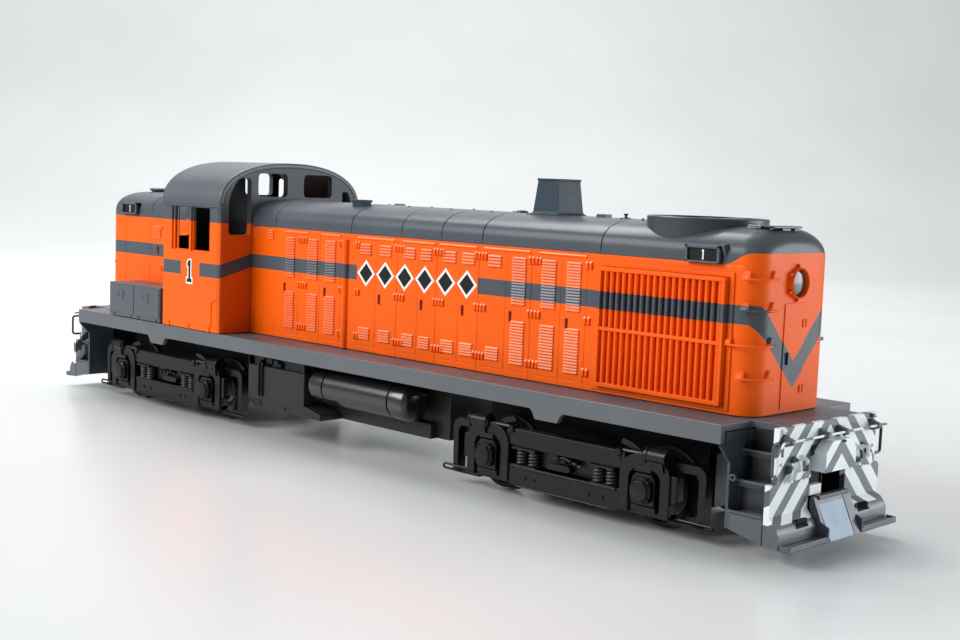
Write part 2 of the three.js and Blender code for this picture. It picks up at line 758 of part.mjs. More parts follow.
function wheel(side) {
  const outline = [
    [AXLE_R + GAP, WHEEL_BACK],
    [FLANGE_R, WHEEL_BACK],
    [FLANGE_R, WHEEL_BACK + 0.5],
    [TREAD_R, WHEEL_BACK + 1.4],
    [TREAD_R, WHEEL_FACE],
    [TREAD_R - 1.6, WHEEL_FACE],
    [TREAD_R - 2.2, WHEEL_FACE - 1.2],
    [3.6, WHEEL_FACE - 1.2],
    [3.6, WHEEL_FACE],
    [AXLE_R + GAP, WHEEL_FACE],
    [AXLE_R + GAP, WHEEL_BACK],
  ];
  const shape = lathe(outline, 24);
  return toSolid(side > 0 ? shape : shape.rotateX(Math.PI));
}

function axle(driven) {
  const bar = rod("y", AXLE_R, -21.5, 21.5, 0, 0, 12);
  return driven ? join(bar, rod("y", GEAR_R, -2.5, 2.5, 0, 0, 24)) : bar;
}

function motorCan() {
  const outline = [
    [1.6, CAN_BOTTOM],
    [8, CAN_BOTTOM],
    [8, CAN_TOP],
    [1.6, CAN_TOP],
    [1.6, CAN_TOP - 2],
    [6.6, CAN_TOP - 2],
    [6.6, CAN_BOTTOM + 2],
    [1.6, CAN_BOTTOM + 2],
    [1.6, CAN_BOTTOM],
  ];
  return turned(outline, 20);
}

// The armature on its shaft, with the worm below and the flywheel above.
function motorRotor() {
  const shaft = 1;
  const step = (r, z0, z1) => [
    [shaft, z0],
    [r, z0],
    [r, z1],
    [shaft, z1],
  ];
  const outline = [
    [0, 5.4],
    [shaft, 5.4],
    ...step(WORM_R, 6.6, 16.6),
    ...step(5.2, 29, 45),
    ...step(6.2, 52, 59),
    [shaft, 60],
    [0, 60],
  ];
  return turned(outline, 16);
}

function kingpin() {
  const outline = [
    [0, 13.2],
    [3.2, 13.2],
    [3.2, 15.7],
    [KINGPIN_R, 15.7],
    [KINGPIN_R, KINGPIN_TOP],
    [0, KINGPIN_TOP],
  ];
  return turned(outline, 16);
}

function truck(word, x, turn) {
  const group = new THREE.Group();
  group.position.x = x;
  group.rotation.z = turn;
  locomotive.add(group);
  const upright = (name, solid, finish, at) => {
    const mesh = place(group, name, solid, finish);
    mesh.rotation.x = Math.PI / 2;
    mesh.position.x = at;
  };
  place(group, `gearbox_${word}`, gearbox(), PAINT.black);
  place(group, `side_frame_${word}_a`, sideFrame(-1), PAINT.black);
  place(group, `side_frame_${word}_b`, sideFrame(1), PAINT.black);
  upright(`kingpin_${word}`, kingpin(), PAINT.steel, 0);
  upright(`motor_${word}`, motorCan(), PAINT.steel, MOTOR_X);
  upright(`motor_rotor_${word}`, motorRotor(), PAINT.brass, MOTOR_X);
  for (const [role, wheelX] of [["driven", WHEELBASE / 2], ["trailing", -WHEELBASE / 2]]) {
    const set = new THREE.Group();
    set.position.set(wheelX, 0, FLANGE_R);
    group.add(set);
    place(set, `axle_${word}_${role}`, axle(role === "driven"), PAINT.steel);
    place(set, `wheel_${word}_${role}_a`, wheel(-1), PAINT.steel);
    place(set, `wheel_${word}_${role}_b`, wheel(1), PAINT.steel);
  }
}
truck("front", TRUCK_X, 0);
truck("rear", -TRUCK_X, Math.PI);

export default locomotive;
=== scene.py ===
"""A model diesel locomotive: fine shapes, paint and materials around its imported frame.

Lengths are written in millimetres, in the frame's own axes: +X the long-hood end, -Y the near side, +Z up.
"""
from math import copysign, cos, pi, radians, sin

import bmesh
import bpy
from mathutils import Matrix, Vector

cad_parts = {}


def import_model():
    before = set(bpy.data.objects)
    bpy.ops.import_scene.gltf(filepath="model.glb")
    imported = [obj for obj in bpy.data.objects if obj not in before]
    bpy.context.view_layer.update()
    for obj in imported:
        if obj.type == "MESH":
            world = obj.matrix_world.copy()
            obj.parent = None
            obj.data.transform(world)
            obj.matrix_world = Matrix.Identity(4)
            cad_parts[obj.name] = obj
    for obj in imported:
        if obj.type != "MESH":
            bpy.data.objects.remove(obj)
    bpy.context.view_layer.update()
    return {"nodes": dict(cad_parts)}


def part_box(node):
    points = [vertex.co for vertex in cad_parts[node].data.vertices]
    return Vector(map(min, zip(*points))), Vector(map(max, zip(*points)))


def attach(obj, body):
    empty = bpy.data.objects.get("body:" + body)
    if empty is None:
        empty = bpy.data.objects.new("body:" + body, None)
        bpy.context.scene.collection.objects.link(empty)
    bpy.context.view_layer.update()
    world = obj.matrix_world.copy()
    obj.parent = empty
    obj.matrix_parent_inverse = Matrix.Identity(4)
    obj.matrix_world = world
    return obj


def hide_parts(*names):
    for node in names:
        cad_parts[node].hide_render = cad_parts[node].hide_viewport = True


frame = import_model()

MM = 0.001
EDGE_ANGLE = 38  # degrees between two faces whose edge is rounded


# ---------- sizes, from the frame ----------
def span(node):
    """Lowest and highest corner of a CAD node, in millimetres."""
    low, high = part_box(node)
    return low / MM, high / MM


HOOD_LOW, HOOD_HIGH = span("long_hood")
NOSE_LOW, NOSE_HIGH = span("short_hood")
CAB_LOW, CAB_HIGH = span("cab_body")
ROOF_LOW, ROOF_HIGH = span("cab_roof")
GRILLE_LOW, GRILLE_HIGH = span("radiator_grille_left")
RING_LOW, RING_HIGH = span("radiator_fan_shroud")
STACK_LOW, STACK_HIGH = span("exhaust_stack")
AIR_LOW, AIR_HIGH = span("air_reservoir_left")

HALF = HOOD_HIGH.y
BASE = HOOD_LOW.z
TOP = HOOD_HIGH.z
SHOULDER = 76.0  # where the hoods' roof starts
ROOF_POWER = 2.6  # of the superellipse that is the hoods' roof
CAB_ROOF_POWER = 2.3
CORNER = 6.2  # radius of a hood's rounded end
HEADLIGHT_Z = 70.0
LENS_RADIUS = 3.7
END_X = HOOD_HIGH.x
REAR_X = NOSE_LOW.x
HALF_DECK = 32.0
CAB_HALF = CAB_HIGH.y
FACE_X = 173.5
TRUCK_X = 104.0
AXLE_X = 29.7
AXLE_Z = 11.6

PAINT_LINE = 74.6
ROOF_SEAMS = (-44.9, -2.5, 23.1, 42.0, 60.3, 107.7)
CAB_PAINT_LINE = 75.4
NUMBER_GAP = -84.7, -72.3  # where the stripe breaks round the cab's number
STRIPE_LOW, STRIPE_HIGH = 59.2, 64.2
V_LOW, V_HIGH = 41.7, 49.0  # of the stripe in the middle of a hood's end
MARK_X0, MARK_X1 = 1.0, 59.0


# ---------- shapes ----------
def along(axis, a, u, v):
    """The point at a along an axis, and u, v on the other two in order."""
    return Vector({"x": (a, u, v), "y": (u, a, v), "z": (u, v, a)}[axis])


def circle(radius, sides, start=0.0, turn=2 * pi):
    return [(radius * cos(start + turn * i / sides), radius * sin(start + turn * i / sides))
            for i in range(sides)]


def filleted(path, radius, steps=5):
    """The path with each inner corner rounded."""
    points = [Vector(p) for p in path]
    out = [points[0]]
    for before, corner, after in zip(points, points[1:], points[2:]):
        back, on = before - corner, after - corner
        reach = min(radius, back.length / 2.05, on.length / 2.05)
        start, end = corner + back.normalized() * reach, corner + on.normalized() * reach
        for i in range(steps + 1):
            t = i / steps
            out.append((1 - t) ** 2 * start + 2 * t * (1 - t) * corner + t * t * end)
    return out + [points[-1]]


class Shape:
    """Closed solids gathered into one mesh. Its end and side, each 1 or -1, say which way x and y run."""

    def __init__(self, end=1, side=1):
        self.points = []
        self.faces = []
        self.end = end
        self.side = side

    def put(self, point):
        """The point with its x and y run the right way."""
        x, y, z = point
        return Vector((self.end * x, self.side * y, z))

    def rings(self, rings, closed=False):
        """A skin through rings of equally many points, with flat ends unless it closes on itself."""
        first, count = len(self.points), len(rings[0])
        for ring in rings:
            self.points += [Vector(p) for p in ring]
        turns = len(rings) if closed else len(rings) - 1
        for i in range(turns):
            near, far = first + i * count, first + (i + 1) % len(rings) * count
            for j in range(count):
                k = (j + 1) % count
                self.faces.append([near + j, near + k, far + k, far + j])
        if not closed:
            last = first + (len(rings) - 1) * count
            self.faces.append([first + j for j in reversed(range(count))])
            self.faces.append([last + j for j in range(count)])
        return self

    def prism(self, axis, outline, a, b):
        return self.rings([[self.put(along(axis, place, u, v)) for u, v in outline] for place in (a, b)])

    def block(self, x0, x1, y0, y1, z0, z1):
        return self.prism("z", [(x0, y0), (x1, y0), (x1, y1), (x0, y1)], z0, z1)

    def rod(self, axis, radius, a, b, u, v, sides=20):
        return self.turned(axis, [(radius, a), (radius, b)], u, v, sides)

    def turned(self, axis, profile, u=0.0, v=0.0, sides=32, closed=False):
        """A round form about an axis through (u, v), from a profile of (radius, place along)."""
        rings = [[self.put(along(axis, place, u + p, v + q)) for p, q in circle(max(radius, 0.01), sides)]
                 for radius, place in profile]
        return self.rings(rings, closed)

    def wire(self, path, radius, sides=8, closed=False):
        """A round bar along a path."""
        return self.tube([self.put(p) for p in path], radius, sides, closed)

    def tube(self, points, radius, sides, closed=False):
        count = len(points)
        side = None
        rings = []
        for i, point in enumerate(points):
            before = points[i - 1] if i or closed else point
            after = points[(i + 1) % count] if i < count - 1 or closed else point
            way = (after - before).normalized()
            if side is None:
                side = way.orthogonal()
            side = (side - way * side.dot(way)).normalized()
            other = way.cross(side)
            rings.append([point + side * p + other * q for p, q in circle(radius, sides)])
        return self.rings(rings, closed)

    def coil(self, x, y, z0, z1, radius, wire, turns):
        """An upright spring. It winds the same way on both sides."""
        x, y, _ = self.put((x, y, 0))
        steps = 14 * turns
        path = []
        for i in range(steps + 1):
            angle = 2 * pi * turns * i / steps
            height = z0 + (z1 - z0) * i / steps
            path.append(Vector((x + radius * cos(angle), y + radius * sin(angle), height)))
        return self.tube(path, wire, 6)

    def moved(self, matrix):
        self.points = [matrix @ p for p in self.points]
        return self

    def plus(self, other):
        first = len(self.points)
        self.points += other.points
        self.faces += [[first + i for i in face] for face in other.faces]
        return self

    def both_sides(self):
        """Adds the mirror image across the long middle plane."""
        mirror = Shape()
        mirror.points = [Vector((p.x, -p.y, p.z)) for p in self.points]
        mirror.faces = self.faces
        return self.plus(mirror)


ENDS = (("front", Matrix.Identity(4)), ("rear", Matrix.Rotation(pi, 4, "Z")))
SIDES = (("right", -1), ("left", 1))
LETTERS = (("a", -1), ("b", 1))


def link(name, mesh):
    thing = bpy.data.objects.new(name, mesh)
    bpy.context.scene.collection.objects.link(thing)
    return thing


def smooth(mesh, angle):
    mesh.polygons.foreach_set("use_smooth", [True] * len(mesh.polygons))
    mesh.set_sharp_from_angle(angle=radians(angle))


def solid(name, shape, angle=35):
    mesh = bpy.data.meshes.new(name)
    mesh.from_pydata([p * MM for p in shape.points], [], shape.faces)
    form = bmesh.new()
    form.from_mesh(mesh)
    bmesh.ops.recalc_face_normals(form, faces=form.faces)
    form.to_mesh(mesh)
    form.free()
    smooth(mesh, angle)
    return link(name, mesh)


def soften(thing, width, steps):
    """Rounds the hard edges, as moulding and paint do."""
    bevel = thing.modifiers.new("edge", "BEVEL")
    bevel.width = width * MM
    bevel.segments = steps
    bevel.limit_method = "ANGLE"
    bevel.angle_limit = radians(EDGE_ANGLE)
    bevel.use_clamp_overlap = True
    shade = thing.modifiers.new("shade", "WEIGHTED_NORMAL")
    shade.keep_sharp = False
    thing.data.polygons.foreach_set("use_smooth", [True] * len(thing.data.polygons))
    for edge in thing.data.edges:
        edge.use_edge_sharp = False


def carve(thing, shape):
    """Cuts a closed shape out of a solid."""
    tool = solid("tool", shape)
    cut = thing.modifiers.new("cut", "BOOLEAN")
    cut.operation = "DIFFERENCE"
    cut.solver = "EXACT"
    cut.object = tool
    bpy.context.view_layer.update()
    ready = thing.evaluated_get(bpy.context.evaluated_depsgraph_get())
    mesh = bpy.data.meshes.new_from_object(ready)
    thing.modifiers.remove(cut)
    thing.data = mesh
    bpy.data.objects.remove(tool)


def settle(thing, slot, material, replaces=(), edge=0.0, steps=2, body="body"):
    """Gives a piece its material, its soft edges and the body that it rides on."""
    thing.data.materials.clear()
    thing.data.materials.append(material)
    if edge:
        soften(thing, edge, steps)
    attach(thing, body)
    if replaces:
        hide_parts(*replaces)
    return thing


def piece(name, shape, slot, material, replaces=(), edge=0.0, angle=35, steps=2, body="body"):
    return settle(solid(name, shape, angle), slot, material, replaces, edge, steps, body)


def skin(node, slot, material, edge):
    """A fine copy of a CAD node with soft edges, which stands for it."""
    mesh = frame["nodes"][node].data.copy()
    form = bmesh.new()
    form.from_mesh(mesh)
    bmesh.ops.remove_doubles(form, verts=form.verts, dist=0.002 * MM)
    bmesh.ops.dissolve_limit(form, angle_limit=radians(1), verts=form.verts, edges=form.edges)
    form.to_mesh(mesh)
    form.free()
    return settle(link(node + "_skin", mesh), slot, material, (node,), edge)


# ---------- materials ----------
def colour(red, green, blue):
    """A screen colour, 0 to 255, as linear light."""
    def linear(value):
        value /= 255
        return value / 12.92 if value <= 0.04045 else ((value + 0.055) / 1.055) ** 2.4
    return (linear(red), linear(green), linear(blue), 1.0)


def scaled(tone, factor):
    return tuple(min(1.0, c * factor) for c in tone[:3]) + (1.0,)


class Recipe:
    """Grows one procedural material on the locomotive's own millimetres."""

    def __init__(self, name, metallic=0.0, coat=0.0, specular=0.5):
        self.material = bpy.data.materials.new(name)
        self.material.use_nodes = True
        tree = self.material.node_tree
        self.nodes, self.links = tree.nodes, tree.links
        self.shader = self.nodes["Principled BSDF"]
        self.shader.inputs["Metallic"].default_value = metallic
        self.shader.inputs["Coat Weight"].default_value = coat
        self.shader.inputs["Coat Roughness"].default_value = 0.12
        self.shader.inputs["Specular IOR Level"].default_value = specular
        self.place = self.rescaled(self.add("ShaderNodeTexCoord").outputs["Object"], 1 / MM)
        self.x, self.y, self.z = self.add("ShaderNodeSeparateXYZ", self.place).outputs
        self.height = None

    def link(self, source, target):
        if isinstance(source, bpy.types.NodeSocket):
            self.links.new(source, target)
        elif isinstance(source, tuple):
            target.default_value = source[:len(target.default_value)]
        else:
            target.default_value = source

    def add(self, kind, *values, **settings):
        """A node with its settings, and its first inputs linked or set in order."""
        node = self.nodes.new(kind)
        for setting, value in settings.items():
            setattr(node, setting, value)
        for value, socket in zip(values, node.inputs):
            if value is not None:
                self.link(value, socket)
        return node

    def maths(self, operation, *values):
        return self.add("ShaderNodeMath", *values, operation=operation).outputs[0]

    def size(self, value):
        return self.maths("ABSOLUTE", value)

    def times(self, first, second):
        return self.maths("MULTIPLY", first, second)

    def either(self, first, second):
        return self.maths("MAXIMUM", first, second)

    def over(self, value, limit):
        return self.maths("GREATER_THAN", value, limit)

    def under(self, value, limit):
        return self.maths("LESS_THAN", value, limit)

    def within(self, value, low, high):
        return self.times(self.over(value, low), self.under(value, high))

    def outside(self, mask):
        return self.maths("SUBTRACT", 1.0, mask)

    def eased(self, *values):
        """The value eased from a low and a high limit to 0 and 1, or to the next two numbers."""
        return self.add("ShaderNodeMapRange", *values, interpolation_type="SMOOTHSTEP").outputs[0]

    def rescaled(self, vector, factor):
        node = self.add("ShaderNodeVectorMath", vector, operation="SCALE")
        self.link(factor, node.inputs["Scale"])
        return node.outputs[0]

    def noise(self, scale, detail=3.0, rough=0.55, stretch=None):
        place = self.place
        if stretch:
            place = self.add("ShaderNodeMapping", place, None, None, stretch).outputs[0]
        return self.add("ShaderNodeTexNoise", place, None, scale, detail, rough).outputs[0]

    def blend(self, factor, first, second):
        node = self.add("ShaderNodeMix", factor, data_type="RGBA")
        self.link(first, node.inputs[6])
        self.link(second, node.inputs[7])
        return node.outputs[2]

    def facing_up(self):
        normal = self.add("ShaderNodeNewGeometry").outputs["Normal"]
        return self.add("ShaderNodeSeparateXYZ", normal).outputs[2]

    def bump(self, height, depth):
        """Adds relief of that depth in millimetres."""
        node = self.add("ShaderNodeBump", 1.0, depth * MM)
        self.link(height, node.inputs["Height"])
        if self.height:
            self.link(self.height, node.inputs["Normal"])
        self.height = node.outputs[0]

    def finish(self, tone, roughness, variation=0.06, dust=0.05, grain=0.012, mottle=0.08, gloss=0.0):
        """What all finishes share: slow colour drift, specks, dust on top, uneven gloss, fine relief."""
        drift = self.noise(0.035, 4.0, 0.6)
        shade = self.eased(drift, 0.3, 0.7, 1 - variation, 1 + variation)
        speck = self.eased(self.noise(1.7, 2.0), 0.70, 0.78, 0.0, 2.1 * dust)
        settled = self.times(self.eased(self.facing_up(), 0.3, 1.0), self.eased(drift, 0.35, 0.65, 0.0, dust))
        dusty = self.blend(self.maths("ADD", speck, settled), self.rescaled(tone, shade), DUST)
        self.link(dusty, self.shader.inputs["Base Color"])
        patches = self.noise(0.22, 5.0, 0.65)
        uneven = self.eased(patches, 0.25, 0.75, roughness - mottle / 2, roughness + mottle / 2)
        self.link(self.maths("ADD", uneven, gloss), self.shader.inputs["Roughness"])
        self.bump(self.noise(2.2, 3.0, 0.6), grain)
        self.link(self.height, self.shader.inputs["Normal"])
        return self.material


ORANGE = colour(247, 96, 0)
GREY = colour(78, 84, 91)
DUST = colour(196, 192, 186)
DARK = colour(12, 12, 11)
WHITE = colour(236, 243, 245)
BLACK = colour(20, 20, 21)


def hood_paint(name="hood_paint", wear_and_highlight=0.0):
    """Orange below grey, with a stripe that meets in a V on the end. Given a strength, upward faces are
    painted paler as a painted highlight, stronger towards the long hood's end.
    """
    r = Recipe(name, specular=0.2)
    across = r.size(r.y)
    upper = r.maths("MINIMUM", STRIPE_HIGH, r.maths("ADD", across, V_HIGH))
    lower = r.maths("MINIMUM", STRIPE_LOW, r.maths("ADD", across, V_LOW))
    band = r.times(r.under(r.z, upper), r.over(r.z, lower))
    beside_mark = r.outside(r.within(r.x, MARK_X0, MARK_X1))
    stripe = r.times(band, beside_mark)
    line = r.eased(r.x, END_X - 11.0, END_X - 2.5, PAINT_LINE, PAINT_LINE + 3.3)
    grey = r.either(stripe, r.over(r.z, line))
    livery = r.blend(grey, ORANGE, GREY)
    if wear_and_highlight:
        # Painted highlight: faces that look up are lightened towards a pale tone, more so towards the long
        # hood's end.
        reach = r.eased(r.x, -50.0, 80.0, wear_and_highlight * 0.4, wear_and_highlight)
        pale = r.blend(grey, colour(255, 214, 176), colour(226, 224, 228))
        livery = r.blend(r.eased(r.facing_up(), 0.15, 0.5, 0.0, reach), livery, pale)
    seam = 0.0
    for x in ROOF_SEAMS:
        seam = r.either(seam, r.within(r.x, x - 0.2, x + 0.12))
    on_roof = r.times(grey, r.over(r.z, PAINT_LINE))
    livery = r.blend(r.times(r.times(seam, on_roof), 0.6), livery, BLACK)
    return r.finish(livery, 0.36, grain=0.005, mottle=0.03, gloss=r.eased(grey, 0.0, 1.0, 0.06, -0.06))


def cab_paint(name="cab_paint", shade_and_seam=True):
    """The stripe drops to a lower one on the cab's sides, and leaves room for the number."""
    r = Recipe(name, specular=0.2)
    across = r.size(r.y)
    drop = r.times(r.maths("SUBTRACT", across, HALF), 4.0 / (CAB_HALF - HALF))
    centre = r.maths("SUBTRACT", (STRIPE_LOW + STRIPE_HIGH) / 2, drop)
    band = r.under(r.size(r.maths("SUBTRACT", r.z, centre)), 2.5)
    number = r.times(r.within(r.x, *NUMBER_GAP), r.over(across, CAB_HALF - 0.8))
    stripe = r.times(band, r.outside(number))
    grey = r.either(stripe, r.over(r.z, CAB_PAINT_LINE))
    livery = r.blend(grey, ORANGE, GREY)
    if shade_and_seam:
        # Painted shade: the cab's inner faces are made near black.
        within_walls = r.under(across, CAB_HALF - 1.3)
        between_ends = r.within(r.x, CAB_LOW.x + 2.4, CAB_HIGH.x - 2.4)
        livery = r.blend(r.times(within_walls, between_ends), livery, colour(17, 16, 16))
        seam = r.times(r.within(r.x, -61.0, -60.75), r.over(across, CAB_HALF - 0.4))
        livery = r.blend(r.times(seam, 0.7), livery, BLACK)
        # Painted shade: the cab's front wall is darkened.
        front = r.within(r.x, CAB_HIGH.x - 0.3, CAB_HIGH.x + 1.0)
        livery = r.blend(r.times(front, 0.3), livery, BLACK)
    return r.finish(livery, 0.36, grain=0.005, mottle=0.03, gloss=r.eased(grey, 0.0, 1.0, 0.06, -0.06))


def pilot_paint():
    """White and grey bands that climb to the middle, above the footboards."""
    r = Recipe("pilot_paint", coat=0.15)
    pitch, white_share = 9.2, 0.56
    across, outward = r.size(r.y), r.size(r.x)
    setback = r.times(r.maths("SUBTRACT", outward, FACE_X), -0.53)
    climb = r.maths("ADD", r.maths("ADD", r.z, across), setback)
    share = r.maths("FRACT", r.maths("DIVIDE", r.maths("SUBTRACT", climb, 1.0), pitch))
    white = r.times(r.under(share, white_share), r.over(r.z, 10.4))
    on_shield = r.times(r.under(across, 8.0), r.within(r.z, 21.6, 30.4))
    cheek = r.times(r.within(outward, FACE_X + 0.2, FACE_X + 3.6), on_shield)
    banded = r.blend(r.either(white, cheek), scaled(GREY, 1.1), WHITE)
    return r.finish(banded, 0.42)


def plain_paint(name, tone, roughness=0.4, coat=0.1, specular=0.4, **more):
    return Recipe(name, coat=coat, specular=specular).finish(tone, roughness, **more)


def deck_paint():
    """Grey with a fine diamond tread on what faces up."""
    r = Recipe("deck_paint", coat=0.1)
    ridge_rate, under_z, sill_y = 3.6, 32.9, 30.4

    def ridges(sign):
        slant = r.maths("ADD", r.x, r.times(r.y, sign))
        return r.maths("POWER", r.size(r.maths("SINE", r.times(slant, ridge_rate))), 3.0)

    tread = r.either(ridges(1.0), ridges(-1.0))
    flat = r.eased(r.facing_up(), 0.8, 0.95)
    r.bump(r.times(tread, flat), 0.2)
    # Painted highlight: the tread ridges on faces that look up are a lighter grey.
    tone = r.blend(r.times(flat, r.eased(tread, 0.2, 1.0)), GREY, scaled(GREY, 1.5))
    tone = r.blend(r.over(r.size(r.y), HALF_DECK - 0.1), tone, colour(88, 93, 97))
    # Painted shade: under the deck, inside the sills, is made near black.
    below = r.times(r.under(r.z, under_z), r.under(r.size(r.y), sill_y))
    return r.finish(r.blend(below, tone, DARK), 0.42)


def step_paint():
    """Grey treads and outer edges as lit faces, with risers and inner faces painted dark as shade."""
    r = Recipe("step_paint", coat=0.1)
    riser_x, edge_y, lowest_tread = 161.9, 27.3, 11.4
    inner = r.under(r.size(r.x), riser_x)
    edge = r.either(r.over(r.size(r.y), edge_y), r.under(r.z, lowest_tread))
    tread = r.eased(r.facing_up(), 0.5, 0.8)
    lit = r.times(r.either(tread, edge), r.outside(inner))
    # Painted shade: inner faces darkest, the other risers dark.
    base = r.blend(inner, colour(24, 28, 30), colour(56, 66, 73))
    return r.finish(r.blend(lit, base, GREY), 0.4)


def cast_black():
    """The satin charcoal of the trucks and the tank, with a faint sand texture."""
    r = Recipe("cast_black", specular=0.28)
    r.bump(r.noise(1.1, 4.0, 0.7), 0.03)
    wear_and_highlight = r.eased(r.noise(0.5, 4.0, 0.7), 0.55, 0.8, 0.0, 0.25)
    return r.finish(r.blend(wear_and_highlight, DARK, colour(28, 27, 26)), 0.34, variation=0.1, dust=0.04)


def bare_steel(name, tone, roughness):
    """Metal with a brushed grain across the locomotive."""
    r = Recipe(name, metallic=1.0)
    brushed = r.noise(1.0, 3.0, 0.6, (6.0, 0.4, 6.0))
    r.bump(brushed, 0.01)
    return r.finish(r.blend(r.eased(brushed, 0.3, 0.7), tone, scaled(tone, 0.75)), roughness, dust=0.02)


def wheel_metal():
    """Blackened wheels with a bright tread and flange."""
    r = Recipe("wheel_metal", metallic=0.9)
    rim = r.eased(r.size(r.y), 18.9, 18.6)
    stain = r.eased(r.noise(0.9, 4.0, 0.7), 0.35, 0.7, 0.0, 0.5)
    dark = r.blend(stain, colour(22, 21, 20), colour(40, 38, 35))
    return r.finish(r.blend(r.times(rim, 0.7), dark, colour(150, 148, 144)), 0.38, dust=0.03)


def board_green():
    """A circuit board with paler tracks along it."""
    r = Recipe("board_green", coat=0.4)
    tracks = r.over(r.maths("SINE", r.times(r.y, 2.4)), 0.82)
    return r.finish(r.blend(tracks, colour(24, 82, 46), colour(60, 128, 74)), 0.4)


HOOD_PAINT = hood_paint()
# Hood paint with a painted highlight on upward faces, for the louvres and hinges.
HIGHLIGHT_PAINT = hood_paint("highlight_paint", 0.62)
CAB_PAINT = cab_paint()
SASH_PAINT = cab_paint("sash_paint", False)
PILOT_PAINT = pilot_paint()
GREY_PAINT = plain_paint("grey_paint", GREY)
DECK_PAINT = deck_paint()
CAST_BLACK = cast_black()
STACK_PAINT = plain_paint("stack_paint", colour(44, 60, 72), 0.42, 0.0, 0.2)
RING_PAINT = plain_paint("ring_paint", colour(54, 62, 68), 0.34)
TANK_PAINT = plain_paint("tank_paint", colour(36, 36, 34), 0.45, 0.0, 0.3, dust=0.02)
GLOSS_BLACK = plain_paint("gloss_black", colour(26, 26, 26), 0.26, 0.3, 0.6, dust=0.02, variation=0.03,
                          mottle=0.02)
SHADE_BLACK = plain_paint("shade_black", colour(8, 8, 9), 0.6, 0.0, 0.2, dust=0.01)
STEP_PAINT = step_paint()
VENT_BLUE = plain_paint("vent_blue", colour(62, 104, 126), 0.35)
COIL_BLACK = plain_paint("coil_black", colour(58, 58, 56), 0.3)
HANDLE_BLACK = plain_paint("handle_black", BLACK, 0.35)
# Dark red-brown: painted shade of a recessed slot, put on raised handles.
SLOT_SHADE_PAINT = plain_paint("door_slot_shade", colour(128, 28, 4), 0.5, 0.0, 0.2)
MARK_WHITE = plain_paint("mark_white", colour(236, 238, 236), 0.4, variation=0.02)
MARK_BLACK = plain_paint("mark_black", colour(11, 12, 14), 0.45, 0.0, 0.25, dust=0.01)
CHUTE_BLUE = plain_paint("chute_blue", colour(92, 130, 160), 0.34, variation=0.12)
LENS = plain_paint("lens", colour(46, 49, 50), 0.2, 0.3, variation=0.1, dust=0.01, grain=0.002, mottle=0.03)
STEEL = bare_steel("turned_steel", colour(150, 150, 150), 0.32)
BRASS = bare_steel("turned_brass", colour(196, 158, 84), 0.3)
WHEEL_METAL = wheel_metal()
BOARD_GREEN = board_green()

HOOD_FINISH = "body_orange", HOOD_PAINT
PILOT_FINISH = "pilot_stripes", PILOT_PAINT
GREY_TRIM = "trim_grey", GREY_PAINT
BLACK_WIRE = "wire_black", HANDLE_BLACK
UNDERFRAME = "underframe_black", CAST_BLACK
CASTING = "truck_casting", CAST_BLACK
SHADE = "underframe_black", SHADE_BLACK


# ---------- hoods ----------
DOOR_SEAMS = (-44.7, -31.2, -19.0, -7.6, 10.8, 21.5, 31.5, 40.3, 50.5, 59.3, 71.0, 81.5, 93.3, 103.0)
DOOR_ENDS = ((-40, -25.5), (-19, -7.6), (0.5, 20.3), (23.5, 39.5), (41, 58.5), (61, 81), (84, 103))
DOOR_LOW, DOOR_HIGH = 36.8, 73.2
SEAM = 0.22  # half the width of a seam
LOUVRE_PITCH = 0.88


def spread(places, low, high):
    """Each place with a line just before and after it, between two ends."""
    lines = {low, high}
    for place in places:
        lines |= {place - SEAM, place, place + SEAM}
    return sorted(lines)


def hood_section(inset, levels, groove):
    """One slice of a hood: up one side, over the roof, and down the other."""
    half, top = HALF - inset, TOP - inset
    side = [(half - groove("side", z), z) for z in levels]
    steps = 36
    roof = []
    for i in range(1, steps):
        angle = pi * i / steps
        dip = groove("roof", 0)
        across = (half - dip) * copysign(abs(cos(angle)) ** (2 / ROOF_POWER), cos(angle))
        roof.append((across, SHOULDER + (top - dip - SHOULDER) * sin(angle) ** (2 / ROOF_POWER)))
    return side + roof + [(-y, z) for y, z in reversed(side)]


def hood_skin(square_end, round_end, roof_seams, door_seams, door_ends):
    """Slices from a hood's square end to its round one, with grooves along the seams."""
    way = copysign(1, round_end - square_end)
    levels = spread((DOOR_LOW, DOOR_HIGH, PAINT_LINE), BASE, SHOULDER)
    ends = [x for pair in door_ends for x in pair]
    low, high = sorted((square_end, round_end - way * CORNER))
    stations = [x for x in spread([*roof_seams, *door_seams, *ends], low, high) if low <= x <= high]
    rings = []
    for x in stations:
        def groove(place, z, x=x):
            if place == "roof":
                return SEAM * 1.6 if x in roof_seams else 0.0
            upright = x in door_seams and DOOR_LOW - 2 < z < DOOR_HIGH + 1
            flat = z in (DOOR_LOW, DOOR_HIGH) and any(a <= x <= b for a, b in door_ends)
            return SEAM * 0.8 if upright or flat or z == PAINT_LINE else 0.0
        rings.append([(x, y, z) for y, z in hood_section(0.0, levels, groove)])
    if way < 0:
        rings.reverse()
    steps = 9
    for i in range(1, steps + 1):
        angle = pi / 2 * i / steps
        x = round_end - way * CORNER * (1 - sin(angle))
        inset = CORNER * (1 - cos(angle))
        rings.append([(x, y, z) for y, z in hood_section(inset, levels, lambda place, z: 0.0)])
    return Shape().rings(rings)


def hood(name, square_end, round_end, roof_seams, door_seams, door_ends, *wells):
    """A hood's shell, with a well cut in it for its light, and for its fan."""
    shape = hood_skin(square_end, round_end, roof_seams, door_seams, door_ends)
    thing = solid(name + "_skin", shape, 28)
    for well in wells:
        carve(thing, well)
    smooth(thing.data, 28)
    settle(thing, *HOOD_FINISH, (name,))


def light_well(x0, x1):
    return Shape().rod("x", LENS_RADIUS, x0, x1, 0, HEADLIGHT_Z, 40)


